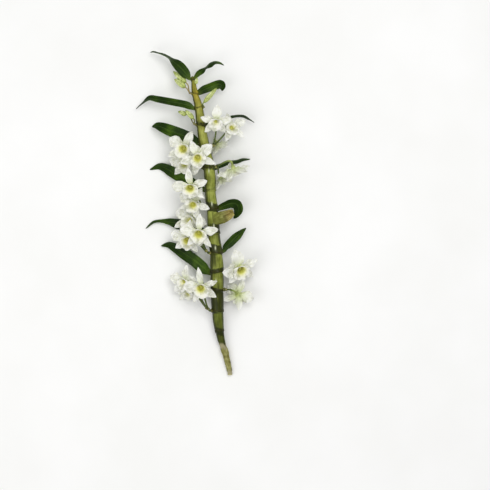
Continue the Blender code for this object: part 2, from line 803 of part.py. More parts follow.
def main():
    for old in list(bpy.data.objects):
        bpy.data.objects.remove(old, do_unlink=True)

    origin = link(bpy.data.objects.new("stem_origin", None))
    leaf_material = make_material("leaf green", LEAF_LOOK)
    stalk_material = make_material("stalk olive", STALK_LOOK)
    bud_material = make_material("bud lime", BUD_LOOK)
    bloom_material = make_material("petal white", BLOOM_LOOK)

    finish(make_cane(), origin, make_material("cane olive", CANE_LOOK))
    sheath = blade("dry_sheath", SHEATH_LINE, SHEATH_ROWS, SHEATH_FOLD, SHEATH_THICK)
    finish(sheath, origin, make_material("sheath tan", SHEATH_LOOK))
    for name, line in LEAVES.items():
        finish(make_leaf(name, line), origin, leaf_material)
    for name, row in BLOOMS.items():
        finish(make_bloom(name, row), origin, bloom_material)
    for name, (base, tip, radius) in BUDS.items():
        finish(make_bud(name, base, tip, radius), origin, bud_material)
    for name, (ring, side, rise, names) in BLOOM_STALKS.items():
        ends = [bloom_end(BLOOMS[each], bow) for each, bow in names]
        stalk = make_stalk(name, ring, side, rise, ends, 1.0)
        finish(stalk, origin, stalk_material)
    for name, (ring, side, rise, names) in BUD_STALKS.items():
        ends = [bud_end(BUDS[each], bow) for each, bow in names]
        stalk = make_stalk(name, ring, side, rise, ends, BUD_STALK_SLIM)
        finish(stalk, origin, stalk_material)
    move_to_frame(origin)


main()
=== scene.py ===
import math
import random
import bpy
from mathutils import Matrix, Vector, noise


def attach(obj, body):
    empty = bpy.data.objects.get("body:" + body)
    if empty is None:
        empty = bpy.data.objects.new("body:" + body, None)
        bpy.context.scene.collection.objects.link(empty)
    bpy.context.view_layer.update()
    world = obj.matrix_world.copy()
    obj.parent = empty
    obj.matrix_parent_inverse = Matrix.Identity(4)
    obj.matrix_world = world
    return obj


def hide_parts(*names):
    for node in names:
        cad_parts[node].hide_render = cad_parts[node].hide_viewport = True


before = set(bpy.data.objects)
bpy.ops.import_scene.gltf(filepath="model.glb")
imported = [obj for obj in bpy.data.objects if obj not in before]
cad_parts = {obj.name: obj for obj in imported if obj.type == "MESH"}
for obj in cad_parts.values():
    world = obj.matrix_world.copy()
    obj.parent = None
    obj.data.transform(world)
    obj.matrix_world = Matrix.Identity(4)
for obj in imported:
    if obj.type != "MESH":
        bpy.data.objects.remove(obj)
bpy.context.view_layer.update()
bpy.ops.object.select_all(action="DESELECT")
print("frame loaded,", len(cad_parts), "nodes")

# The plan is the photograph's own grid, x to the right and y down, and heights are in mm
stem = {
    "step": 1.5,  # mm in one step of the plan
    "middle": (293.8572, 320.0504),  # mm from the plan's corner to the middle of the stem's box
    "frameSteps": 490,  # steps across the picture
}
mm = 0.001


def plan(x, y, z):
    right, down = stem["middle"]
    return Vector((x * stem["step"] - right, down - y * stem["step"], z)) * mm


def smoothLine(rows, t):
    # the place t, 0 to 1, on the smooth line through equal rows of numbers
    place = t * (len(rows) - 1)
    i = min(int(place), len(rows) - 2)
    f = place - i
    near = [rows[max(i - 1, 0)], rows[i], rows[i + 1], rows[min(i + 2, len(rows) - 1)]]
    point = []
    for a, b, c, d in zip(*near):
        value = 2 * b + (c - a) * f + (2 * a - 5 * b + 4 * c - d) * f * f
        value += (3 * b - a - 3 * c + d) * f * f * f
        point.append(value / 2)
    return point


def slopeAt(stops, i):
    before = stops[max(i - 1, 0)]
    after = stops[min(i + 1, len(stops) - 1)]
    return (after[1] - before[1]) / (after[0] - before[0])


def profile(stops, u):
    # the value at u on the soft curve through (place, value) stops
    i = 0
    while i < len(stops) - 2 and u > stops[i + 1][0]:
        i += 1
    u0, v0 = stops[i]
    u1, v1 = stops[i + 1]
    wide = u1 - u0
    t = min(max((u - u0) / wide, 0), 1)
    a = slopeAt(stops, i) * wide
    b = slopeAt(stops, i + 1) * wide
    return v0 + a * t + (3 * (v1 - v0) - 2 * a - b) * t * t + (a + b - 2 * (v1 - v0)) * t**3


def ease(low, high, u):
    t = min(max((u - low) / (high - low), 0), 1)
    return t * t * (3 - 2 * t)


def hump(middle, spread, u):
    return math.exp(-(((u - middle) / spread) ** 2))


# Making pieces

def pick(pieces):
    bpy.ops.object.select_all(action="DESELECT")
    for piece in pieces:
        piece.select_set(True)
    bpy.context.view_layer.objects.active = pieces[0]


def addSheet(rows, columns, place):
    # a flat grid bent by place(u, v), u from 0 to 1 along it and v from -1 to 1 across
    bpy.ops.mesh.primitive_grid_add(x_subdivisions=rows, y_subdivisions=columns, size=2)
    piece = bpy.context.active_object
    for vertex in piece.data.vertices:
        vertex.co = place((vertex.co.x + 1) / 2, vertex.co.y)
    return piece


def addTube(sides, points, radiusAt):
    # a sphere drawn out along the points, one ring to each, closed at both ends
    rings = len(points) - 1
    bpy.ops.mesh.primitive_uv_sphere_add(segments=sides, ring_count=rings, radius=1)
    piece = bpy.context.active_object
    frames = []
    side = Vector((1, 0, 0.2))  # carried along from ring to ring, so that the tube has no twist
    for i, point in enumerate(points):
        ahead = points[min(i + 1, rings)] - points[max(i - 1, 0)]
        ahead.normalize()
        side = (side - ahead * side.dot(ahead)).normalized()
        frames.append((point, side, ahead.cross(side)))
    for vertex in piece.data.vertices:
        i = round(math.acos(min(max(-vertex.co.z, -1), 1)) / math.pi * rings)
        turn = math.atan2(vertex.co.y, vertex.co.x)
        middle, side, over = frames[i]
        out = side * math.cos(turn) + over * math.sin(turn)
        radius = radiusAt(i, turn, out) if 0 < i < rings else 0
        vertex.co = middle + out * radius
    return piece


def thicken(piece, thickness):
    pick([piece])
    wall = piece.modifiers.new("Thickness", "SOLIDIFY")
    wall.thickness = thickness * mm
    wall.offset = 0
    bpy.ops.object.modifier_apply(modifier="Thickness")
    return piece


def paint(piece, name, value):
    # one number at each point, by its index, which the materials read
    values = [value(i) for i in range(len(piece.data.vertices))]
    layer = piece.data.attributes.new(name, "FLOAT", "POINT")
    layer.data.foreach_set("value", values)


def joined(pieces):
    pick(pieces)
    if len(pieces) > 1:
        bpy.ops.object.join()
    return bpy.context.active_object


def settle(piece, name, node, material):
    piece.name = name
    piece.data.name = name
    piece.data.materials.clear()
    piece.data.materials.append(material)
    pick([piece])
    bpy.ops.object.shade_smooth_by_angle(angle=math.radians(50))
    if node:
        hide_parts(node)
    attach(piece, "root")
    return piece


def colour(code):
    # an sRGB hex value as the linear colour that the sockets take
    parts = [int(code[i : i + 2], 16) / 255 for i in (1, 3, 5)]
    return [p / 12.92 if p <= 0.04045 else ((p + 0.055) / 1.055) ** 2.4 for p in parts] + [1]


def addNode(tree, kind, inputs=None, stops=None, **settings):
    node = tree.nodes.new("ShaderNode" + kind)
    for name, value in settings.items():
        setattr(node, name, value)
    if stops:
        ramp = node.color_ramp
        while len(ramp.elements) < len(stops):
            ramp.elements.new(0.5)
        for element, (place, code) in zip(ramp.elements, stops):
            element.position = place
            element.color = colour(code)
    for name, value in (inputs or {}).items():
        if isinstance(value, bpy.types.NodeSocket):
            tree.links.new(value, node.inputs[name])
        else:
            node.inputs[name].default_value = value
    return node


# Materials

def newFinish(name, roughness, **constants):
    material = bpy.data.materials.new(name)
    material.use_nodes = True
    tree = material.node_tree
    shader = tree.nodes["Principled BSDF"]
    shader.inputs["Roughness"].default_value = roughness
    for socket, value in constants.items():
        shader.inputs[socket.replace("_", " ")].default_value = value
    return material, tree, shader


def leafCuticle():
    # orchid leaf: leathery, waxed, dark green above and paler below, veins run its length
    material, tree, shader = newFinish("waxed orchid leaf", 0.36, IOR=1.45, Specular_IOR_Level=0.13)
    uv = addNode(tree, "UVMap")
    run = addNode(tree, "Mapping", {"Vector": uv.outputs[0], "Scale": (2.2, 26, 1)})
    streak = addNode(tree, "TexNoise", {"Vector": run.outputs[0], "Scale": 1.0, "Detail": 4.0})
    coords = addNode(tree, "TexCoord")
    patch = addNode(tree, "TexNoise", {"Vector": coords.outputs["Object"], "Scale": 45.0, "Detail": 3.0})
    both = addNode(tree, "Math", {0: streak.outputs[0], 1: patch.outputs[0]}, operation="ADD")
    half = addNode(tree, "Math", {0: both.outputs[0], 1: 0.5}, operation="MULTIPLY")
    top = addNode(tree, "ValToRGB", {0: half.outputs[0]},
                  [(0.34, "#0b1b01"), (0.5, "#1f3604"), (0.66, "#4a6616")])
    below = addNode(tree, "ValToRGB", {0: half.outputs[0]},
                    [(0.32, "#34501a"), (0.5, "#486626"), (0.68, "#5f7c36")])
    under = addNode(tree, "Attribute", attribute_name="under")
    skin = addNode(tree, "Mix", {0: under.outputs["Fac"], 6: top.outputs[0], 7: below.outputs[0]},
                   data_type="RGBA")
    # pale rib, yellow-green root and dry brown tip, each with its share of the skin
    for mark, share, code in (("rib", 0.35, "#5f7a3a"), ("root", 0.6, "#66792a"), ("tip", 1, "#33290f")):
        marked = addNode(tree, "Attribute", attribute_name=mark)
        strength = addNode(tree, "Math", {0: marked.outputs["Fac"], 1: share}, operation="MULTIPLY")
        skin = addNode(tree, "Mix", {0: strength.outputs[0], 6: skin.outputs[2], 7: colour(code)},
                       data_type="RGBA")
    tree.links.new(skin.outputs[2], shader.inputs["Base Color"])
    gloss = addNode(tree, "MapRange", {0: streak.outputs[0], 3: 0.34, 4: 0.54})
    tree.links.new(gloss.outputs[0], shader.inputs["Roughness"])
    # main veins about 1.2 mm apart across a blade of 15 mm
    fine = addNode(tree, "Mapping", {"Vector": uv.outputs[0], "Scale": (1.2, 1, 1)})
    vein = addNode(tree, "TexWave",
                   {"Vector": fine.outputs[0], "Scale": 4.0, "Distortion": 1.2, "Detail": 1.0},
                   bands_direction="Y")
    relief = addNode(tree, "Math", {0: vein.outputs["Fac"], 1: streak.outputs[0]}, operation="ADD")
    bump = addNode(tree, "Bump", {"Height": relief.outputs[0], "Strength": 0.3, "Distance": 0.0002})
    tree.links.new(bump.outputs[0], shader.inputs["Normal"])
    return material


def petalTissue():
    # petals and sepals: thin white tissue, satin, cream green at the root and behind
    material, tree, shader = newFinish("satin petal tissue", 0.55, IOR=1.4, Sheen_Weight=0.12,
                                       Subsurface_Weight=0.35, Subsurface_Scale=0.004,
                                       Subsurface_Radius=(1.0, 1.0, 0.8))
    uv = addNode(tree, "UVMap")
    reach = addNode(tree, "Attribute", attribute_name="reach")
    run = addNode(tree, "Mapping", {"Vector": uv.outputs[0], "Scale": (2.5, 22, 1)})
    streak = addNode(tree, "TexNoise", {"Vector": run.outputs[0], "Scale": 1.0, "Detail": 3.0})
    coords = addNode(tree, "TexCoord")
    cloud = addNode(tree, "TexNoise", {"Vector": coords.outputs["Object"], "Scale": 110.0, "Detail": 2.0})
    both = addNode(tree, "Math", {0: streak.outputs[0], 1: cloud.outputs[0]}, operation="ADD")
    half = addNode(tree, "Math", {0: both.outputs[0], 1: 0.5}, operation="MULTIPLY")
    front = addNode(tree, "ValToRGB", {0: reach.outputs["Fac"]},
                    [(0.0, "#ccd69a"), (0.18, "#e3e8c7"), (0.42, "#f2f3e6"), (1.0, "#fafaf4")])
    behind = addNode(tree, "ValToRGB", {0: reach.outputs["Fac"]},
                     [(0.0, "#b4c277"), (0.25, "#d3dbae"), (0.6, "#e9ebdc"), (1.0, "#f1f1ea")])
    under = addNode(tree, "Attribute", attribute_name="under")
    side = addNode(tree, "Mix", {0: under.outputs["Fac"], 6: front.outputs[0], 7: behind.outputs[0]},
                   data_type="RGBA")
    grey = addNode(tree, "ValToRGB", {0: half.outputs[0]},
                   [(0.36, "#cbccc0"), (0.46, "#efefe9"), (0.55, "#ffffff")])
    skin = addNode(tree, "Mix", {0: 1.0, 6: side.outputs[2], 7: grey.outputs[0]},
                   data_type="RGBA", blend_type="MULTIPLY")
    tree.links.new(skin.outputs[2], shader.inputs["Base Color"])
    bump = addNode(tree, "Bump", {"Height": half.outputs[0], "Strength": 0.5, "Distance": 0.0008})
    tree.links.new(bump.outputs[0], shader.inputs["Normal"])
    return material


def lipDown():
    # lip: white and downy, a yellow olive throat with a narrow cream ring
    material, tree, shader = newFinish("downy lip", 0.75, IOR=1.4, Sheen_Weight=0.2,
                                       Subsurface_Weight=0.1, Subsurface_Scale=0.002,
                                       Subsurface_Radius=(0.8, 1.0, 0.5))
    reach = addNode(tree, "Attribute", attribute_name="reach")
    uv = addNode(tree, "UVMap")
    rays = addNode(tree, "Mapping", {"Vector": uv.outputs[0], "Scale": (2, 44, 1)})
    streak = addNode(tree, "TexNoise", {"Vector": rays.outputs[0], "Scale": 1.0, "Detail": 2.0})
    shift = addNode(tree, "MapRange", {0: streak.outputs[0], 3: -0.06, 4: 0.06})
    place = addNode(tree, "Math", {0: reach.outputs["Fac"], 1: shift.outputs[0]}, operation="ADD")
    tint = addNode(tree, "ValToRGB", {0: place.outputs[0]},
                   [(0.0, "#9c9634"), (0.16, "#b2ae40"), (0.28, "#bfbd50"), (0.38, "#cccb69"),
                    (0.46, "#dddc96"), (0.58, "#e8e7c4"), (0.72, "#ebebdc"), (1.0, "#f0f0ea")])
    coords = addNode(tree, "TexCoord")
    cloud = addNode(tree, "TexNoise", {"Vector": coords.outputs["Object"], "Scale": 150.0, "Detail": 2.0})
    grey = addNode(tree, "ValToRGB", {0: cloud.outputs[0]}, [(0.36, "#cfd0c4"), (0.55, "#ffffff")])
    skin = addNode(tree, "Mix", {0: 1.0, 6: tint.outputs[0], 7: grey.outputs[0]},
                   data_type="RGBA", blend_type="MULTIPLY")
    tree.links.new(skin.outputs[2], shader.inputs["Base Color"])
    # down about 0.3 mm apart, drawn three times as coarse so that it shows
    down = addNode(tree, "TexNoise", {"Vector": coords.outputs["Object"], "Scale": 1100.0, "Detail": 1.0})
    relief = addNode(tree, "Math", {0: down.outputs[0], 1: streak.outputs[0]}, operation="ADD")
    bump = addNode(tree, "Bump", {"Height": relief.outputs[0], "Strength": 0.4, "Distance": 0.0004})
    tree.links.new(bump.outputs[0], shader.inputs["Normal"])
    return material


def columnWax():
    # column and neck: firm wax-smooth tissue, green behind, olive yellow at the cap
    material, tree, shader = newFinish("waxy flower column", 0.4, IOR=1.42)
    reach = addNode(tree, "Attribute", attribute_name="reach")
    tint = addNode(tree, "ValToRGB", {0: reach.outputs["Fac"]},
                   [(0.0, "#8d9a4d"), (0.35, "#bcc77e"), (0.6, "#d2d99c"), (0.8, "#c4c45c"),
                    (1.0, "#b2af48")])
    coords = addNode(tree, "TexCoord")
    mottle = addNode(tree, "TexNoise", {"Vector": coords.outputs["Object"], "Scale": 400.0, "Detail": 2.0})
    shade = addNode(tree, "ValToRGB", {0: mottle.outputs[0]}, [(0.3, "#b8b8a0"), (0.6, "#ffffff")])
    skin = addNode(tree, "Mix", {0: 0.6, 6: tint.outputs[0], 7: shade.outputs[0]},
                   data_type="RGBA", blend_type="MULTIPLY")
    tree.links.new(skin.outputs[2], shader.inputs["Base Color"])
    bump = addNode(tree, "Bump", {"Height": mottle.outputs[0], "Strength": 0.15, "Distance": 0.0003})
    tree.links.new(bump.outputs[0], shader.inputs["Normal"])
    return material


def budSkin():
    # bud: plump, lime, waxed, with the seams of its sepals and a darker tip
    material, tree, shader = newFinish("waxed lime bud", 0.42, IOR=1.42, Subsurface_Weight=0.08,
                                       Subsurface_Scale=0.002, Subsurface_Radius=(0.8, 1.0, 0.4))
    reach = addNode(tree, "Attribute", attribute_name="reach")
    tint = addNode(tree, "ValToRGB", {0: reach.outputs["Fac"]},
                   [(0.0, "#97a652"), (0.2, "#c4d07a"), (0.6, "#e0e8a8"), (0.85, "#bdc974"),
                    (1.0, "#76833a")])
    coords = addNode(tree, "TexCoord")
    mottle = addNode(tree, "TexNoise", {"Vector": coords.outputs["Object"], "Scale": 260.0, "Detail": 3.0})
    shade = addNode(tree, "ValToRGB", {0: mottle.outputs[0]}, [(0.36, "#b4bb8a"), (0.6, "#ffffff")])
    skin = addNode(tree, "Mix", {0: 0.8, 6: tint.outputs[0], 7: shade.outputs[0]},
                   data_type="RGBA", blend_type="MULTIPLY")
    seam = addNode(tree, "Attribute", attribute_name="seam")
    seamed = addNode(tree, "Mix", {0: seam.outputs["Fac"], 6: skin.outputs[2], 7: colour("#74823a")},
                     data_type="RGBA")
    tree.links.new(seamed.outputs[2], shader.inputs["Base Color"])
    bump = addNode(tree, "Bump", {"Height": mottle.outputs[0], "Strength": 0.2, "Distance": 0.0003})
    tree.links.new(bump.outputs[0], shader.inputs["Normal"])
    return material


def caneSkin():
    # cane: waxed ridged skin, yellow olive above and dark at its foot, scars at its rings
    material, tree, shader = newFinish("waxed cane skin", 0.38, IOR=1.45, Specular_IOR_Level=0.2)
    age = addNode(tree, "Attribute", attribute_name="age")
    tint = addNode(tree, "ValToRGB", {0: age.outputs["Fac"]},
                   [(0.0, "#8a9440"), (0.06, "#b0a03c"), (0.12, "#adad5a"), (0.3, "#a2aa56"),
                    (0.6, "#97a050"), (0.72, "#8b9348"), (0.8, "#667029"), (0.9, "#4a501c")])
    # streaks about 1.7 mm wide and 17 mm long, cut off at each ring
    uv = addNode(tree, "UVMap")
    joint = addNode(tree, "Attribute", attribute_name="joint")
    offset = addNode(tree, "CombineXYZ", {"Z": joint.outputs["Fac"]})
    shifted = addNode(tree, "VectorMath", {0: uv.outputs[0], 1: offset.outputs[0]}, operation="ADD")
    run = addNode(tree, "Mapping", {"Vector": shifted.outputs[0], "Scale": (34, 26, 7)})
    streak = addNode(tree, "TexNoise", {"Vector": run.outputs[0], "Scale": 1.0, "Detail": 4.0})
    coords = addNode(tree, "TexCoord")
    patch = addNode(tree, "TexNoise", {"Vector": coords.outputs["Object"], "Scale": 70.0, "Detail": 3.0})
    mixed = addNode(tree, "Math", {0: streak.outputs[0], 1: patch.outputs[0]}, operation="ADD")
    half = addNode(tree, "Math", {0: mixed.outputs[0], 1: 0.5}, operation="MULTIPLY")
    shade = addNode(tree, "ValToRGB", {0: half.outputs[0]},
                    [(0.36, "#6c6f3c"), (0.46, "#bec088"), (0.58, "#fffff0")])
    skin = addNode(tree, "Mix", {0: 0.9, 6: tint.outputs[0], 7: shade.outputs[0]},
                   data_type="RGBA", blend_type="MULTIPLY")
    # painted shade: the flanks turned away from the lit side are darkened
    painted_flank_shade = addNode(tree, "Attribute", attribute_name="painted_flank_shade")
    paintedShadeShare = addNode(tree, "Math", {0: painted_flank_shade.outputs["Fac"], 1: 0.88}, operation="MULTIPLY")
    shady = addNode(tree, "Mix", {0: paintedShadeShare.outputs[0], 6: skin.outputs[2], 7: colour("#2a2f06")},
                    data_type="RGBA")
    # the fresh skin round each ring is dark and glossy, and its streaks reach into the pale part
    band = addNode(tree, "Attribute", attribute_name="band")
    torn = addNode(tree, "MapRange", {0: streak.outputs[0], 1: 0.3, 2: 0.7, 3: -0.5, 4: 0.5})
    bandEdge = addNode(tree, "Math", {0: band.outputs["Fac"], 1: torn.outputs[0]}, operation="ADD")
    bandShare = addNode(tree, "MapRange", {0: bandEdge.outputs[0], 1: 0.3, 2: 0.75, 3: 0.0, 4: 0.92})
    banded = addNode(tree, "Mix", {0: bandShare.outputs[0], 6: shady.outputs[2], 7: colour("#222703")},
                     data_type="RGBA")
    # brown scar lines lie over it, and pale painted highlights on its upper side
    for mark, share, code in (("scar", 0.85, "#33300a"), ("painted_highlight", 1, "#e3e8c2")):
        marked = addNode(tree, "Attribute", attribute_name=mark)
        strength = addNode(tree, "Math", {0: marked.outputs["Fac"], 1: share}, operation="MULTIPLY")
        banded = addNode(tree, "Mix", {0: strength.outputs[0], 6: banded.outputs[2], 7: colour(code)},
                         data_type="RGBA")
    dry = addNode(tree, "Attribute", attribute_name="dry")
    ragged = addNode(tree, "Math", {0: dry.outputs["Fac"], 1: streak.outputs[0]}, operation="MULTIPLY")
    dried = addNode(tree, "ValToRGB", {0: ragged.outputs[0]}, [(0.22, "#000000"), (0.32, "#ffffff")])
    papery = addNode(tree, "Mix", {0: dried.outputs[0], 6: banded.outputs[2], 7: colour("#9d9674")},
                     data_type="RGBA")
    cut = addNode(tree, "Attribute", attribute_name="cut")
    ended = addNode(tree, "Mix", {0: cut.outputs["Fac"], 6: papery.outputs[2], 7: colour("#bdb77c")},
                    data_type="RGBA")
    tree.links.new(ended.outputs[2], shader.inputs["Base Color"])
    gloss = addNode(tree, "MapRange", {0: bandShare.outputs[0], 3: 0.46, 4: 0.32})
    tree.links.new(gloss.outputs[0], shader.inputs["Roughness"])
    bump = addNode(tree, "Bump", {"Height": streak.outputs[0], "Strength": 0.5, "Distance": 0.0007})
    tree.links.new(bump.outputs[0], shader.inputs["Normal"])
    return material


def stalkSkin():
    # flower stalks: thin smooth skin, dark green at the cane and light at the flower, a few blushed tan
    material, tree, shader = newFinish("smooth flower stalk", 0.45, IOR=1.42)
    reach = addNode(tree, "Attribute", attribute_name="reach")
    tint = addNode(tree, "ValToRGB", {0: reach.outputs["Fac"]},
                   [(0.0, "#3c4715"), (0.3, "#4f5f22"), (0.7, "#71833a"), (1.0, "#9fae60")])
    coords = addNode(tree, "TexCoord")
    mottle = addNode(tree, "TexNoise", {"Vector": coords.outputs["Object"], "Scale": 380.0, "Detail": 3.0})
    blush = addNode(tree, "Attribute", attribute_name="blush")
    blushed = addNode(tree, "Mix", {0: blush.outputs["Fac"], 6: tint.outputs[0], 7: colour("#b59c6e")},
                      data_type="RGBA")
    shade = addNode(tree, "ValToRGB", {0: mottle.outputs[0]}, [(0.32, "#a8a57c"), (0.6, "#ffffff")])
    skin = addNode(tree, "Mix", {0: 0.8, 6: blushed.outputs[2], 7: shade.outputs[0]},
                   data_type="RGBA", blend_type="MULTIPLY")
    tree.links.new(skin.outputs[2], shader.inputs["Base Color"])
    bump = addNode(tree, "Bump", {"Height": mottle.outputs[0], "Strength": 0.2, "Distance": 0.0003})
    tree.links.new(bump.outputs[0], shader.inputs["Normal"])
    return material


def dryPaper():
    # dry sheath and bracts: dead papery skin, tan, with brown fibres along it
    material, tree, shader = newFinish("dry papery sheath", 0.75, IOR=1.4)
    uv = addNode(tree, "UVMap")
    run = addNode(tree, "Mapping", {"Vector": uv.outputs[0], "Scale": (2, 30, 1)})
    fibre = addNode(tree, "TexNoise", {"Vector": run.outputs[0], "Scale": 1.0, "Detail": 4.0})
    coords = addNode(tree, "TexCoord")
    blotch = addNode(tree, "TexNoise", {"Vector": coords.outputs["Object"], "Scale": 140.0, "Detail": 3.0})
    mixed = addNode(tree, "Math", {0: fibre.outputs[0], 1: blotch.outputs[0]}, operation="ADD")
    half = addNode(tree, "Math", {0: mixed.outputs[0], 1: 0.5}, operation="MULTIPLY")
    tint = addNode(tree, "ValToRGB", {0: half.outputs[0]},
                   [(0.34, "#4d4318"), (0.44, "#716c34"), (0.54, "#8f8d50"), (0.68, "#bab586")])
    # where it still grows on the cane it is green
    fresh = addNode(tree, "Attribute", attribute_name="fresh")
    green = addNode(tree, "Mix", {0: 1.0, 6: tint.outputs[0], 7: colour("#c4cf8c")},
                    data_type="RGBA", blend_type="MULTIPLY")
    grown = addNode(tree, "Mix", {0: fresh.outputs["Fac"], 6: tint.outputs[0], 7: green.outputs[2]},
                    data_type="RGBA")
    # its torn end is gold, with a brown line along the fold
    ripe = addNode(tree, "ValToRGB", {0: half.outputs[0]},
                   [(0.34, "#77632c"), (0.46, "#a0914e"), (0.56, "#c1b570"), (0.7, "#e6dda8")])
    gold = addNode(tree, "Attribute", attribute_name="gold")
    golden = addNode(tree, "Mix", {0: gold.outputs["Fac"], 6: grown.outputs[2], 7: ripe.outputs[0]},
                     data_type="RGBA")
    crease = addNode(tree, "Attribute", attribute_name="crease")
    lined = addNode(tree, "Mix", {0: crease.outputs["Fac"], 6: golden.outputs[2], 7: colour("#5a3c1c")},
                    data_type="RGBA")
    tree.links.new(lined.outputs[2], shader.inputs["Base Color"])
    bump = addNode(tree, "Bump", {"Height": fibre.outputs[0], "Strength": 0.5, "Distance": 0.0005})
    tree.links.new(bump.outputs[0], shader.inputs["Normal"])
    return material


leafFinish = leafCuticle()
petalFinish = petalTissue()
lipFinish = lipDown()
columnFinish = columnWax()
budFinish = budSkin()
caneFinish = caneSkin()
stalkFinish = stalkSkin()
paperFinish = dryPaper()
print("finishes made")

# Camera straight over the stem, with the picture's own frame

camera = {
    "height": 3.0,  # metres over the floor
    "sensor": 36.0,
    "truePlace": 30,  # mm over the floor, where one picture step is one step of the plan
}
middleStep = stem["frameSteps"] / 2
eye = plan(middleStep, middleStep, 0)
eye.z = camera["height"]
bpy.ops.object.camera_add(location=eye, rotation=(0, 0, 0))
cameraPiece = bpy.context.active_object
cameraPiece.name = "camera_above"
frameWidth = stem["frameSteps"] * stem["step"] * mm
cameraPiece.data.sensor_width = camera["sensor"]
reach = camera["height"] - camera["truePlace"] * mm
cameraPiece.data.lens = camera["sensor"] * reach / frameWidth
cameraPiece.data.clip_end = 20
bpy.context.scene.camera = cameraPiece

# Cane

cane = {
    # middle line: plan x, plan y, height and radius in mm
    "line": [
        (192.3, 76.0, 31.0, 2.0), (193.5, 82.0, 31.5, 3.4), (195.0, 94.0, 32.5, 4.6),
        (198.5, 106.0, 33.5, 5.7), (200.0, 116.0, 34.0, 6.4), (201.0, 125.0, 34.0, 6.6),
        (203.0, 138.0, 34.0, 7.1), (205.0, 150.0, 34.0, 7.7), (208.0, 163.0, 34.0, 8.5),
        (210.0, 178.0, 33.5, 8.3), (210.5, 195.0, 33.0, 8.1), (212.5, 211.0, 32.5, 8.4),
        (213.5, 226.0, 31.5, 8.6), (214.5, 240.0, 30.5, 8.7), (216.0, 252.0, 29.5, 9.0),
        (217.0, 270.0, 27.0, 9.6), (217.0, 290.0, 23.5, 9.5), (217.5, 311.0, 18.5, 8.6),
        (218.5, 325.0, 14.5, 7.2), (221.0, 340.0, 10.5, 5.4), (225.0, 353.0, 7.2, 4.2),
        (228.0, 366.0, 4.8, 3.8), (230.0, 376.0, 3.54, 3.7),
    ],
    "rings": [80, 94, 108, 125, 148, 168, 190, 209, 233, 253, 272, 290, 311, 331, 353],
    "faint": {94: 0.6, 108: 0.3, 125: 0.45, 148: 0.7, 190: 0.25, 233: 0.8},  # share of a scar's dark line
    # the skin's share of swelling across a ring scar, by plan steps below the scar
    "ringSwell": [
        (-1.8, 0.0), (-0.9, 0.05), (-0.3, 0.07), (-0.05, 0.03), (0.15, 0.09), (0.8, 0.07), (1.6, -0.05),
    ],
    "ringPlaces": [-1.8, -1.2, -0.8, -0.5, -0.3, -0.15, 0, 0.12, 0.25, 0.5, 0.8, 1.2, 1.6],
    # dark fresh skin: from, to and strength, in plan steps
    "bands": [
        (77, 81, 0.6), (92.5, 94.5, 0.4), (106.5, 108.5, 0.6), (122.5, 126.5, 0.7), (145.5, 149, 0.6),
        (163, 169.5, 0.7), (188, 190.5, 0.45), (203, 211.5, 1.0), (223, 233.5, 0.7), (244.5, 253.5, 1.0),
        (268.5, 273, 1.0), (288.5, 298, 1.0), (297, 313, 0.85), (328, 336, 0.8),
    ],
    "bandTilt": 1.5,  # plan steps that the dark skin's edge climbs from the middle to a side
    # how far to the right its lit side faces, from joint to joint; the sides turned away from it get painted
    # shade
    "litSides": [(76, 0.32), (190, 0.36), (207, 0.32), (214, -0.05), (229, -0.3), (243, -0.3), (248, 0.7),
                  (265, 0.7), (270, 0.22), (376, 0.22)],
    "shadeFades": (0.3, 0.96),  # how squarely a point faces the lit side, where the painted shade on its flank ends
    "sides": 72,
    "wide": 0.35,  # mm of sheath over the cane's own radius
    "sheathed": (85, 110, 320, 345),  # it thickens from the first place to the second, thins over the others
    "spacing": 1.2,  # plan steps between rows where nothing happens
    "ringClear": (-1.8, 1.7),  # plan steps round a ring that hold its own rows alone
    "furrow": 0.012,  # depth of the furrows, as a share of the radius
    "footFurrow": (300, 350, 2.5),  # from, to and how much deeper they are at the foot
    "collar": 0.9,  # mm that a leaf's collar stands out of the skin
    "collarReach": 3.4,  # plan steps that it spreads along the cane
    "waist": 0.05,  # how much thinner it is between two rings, as a share of the radius
    "dryFrom": (335, 354),  # the skin dries to paper over these steps
    "scarPlace": 0.4,  # plan steps from a ring up to its dark line
    "scarWidth": 0.65,  # plan steps
    "cutFlat": 0.86,  # share of the radius that the flat of the cut end takes
    "highlightSpots": [(212, 204), (214, 226), (215.5, 248), (209, 171), (216, 281)],  # painted highlights on the upper side, plan x and y
    "highlightSize": (0.8, 2.6),  # mm across and along
}


def caneRow(y):
    # plan x and y, height and radius of the cane at y
    line = cane["line"]
    i = 0
    while i < len(line) - 2 and y > line[i + 1][1]:
        i += 1
    t = min(max((y - line[i][1]) / (line[i + 1][1] - line[i][1]), 0), 1)
    x, _, z, radius = smoothLine(line, (i + t) / (len(line) - 1))
    return x, y, z, radius


def caneAt(y):
    x, y, z, radius = caneRow(y)
    return plan(x, y, z), radius


def caneSwell(y):
    # the share of the radius that the skin stands out at y, most at the rings
    first, last = cane["ringPlaces"][0], cane["ringPlaces"][-1]
    for ring in cane["rings"]:
        if first < y - ring < last:
            return profile(cane["ringSwell"], y - ring)
    above = max([ring for ring in cane["rings"] if ring < y], default=None)
    below = min([ring for ring in cane["rings"] if ring > y], default=None)
    if above is None or below is None:
        return -cane["waist"] if above else 0
    return -cane["waist"] * (1 - ease(last, (below - above) / 2, y - above))


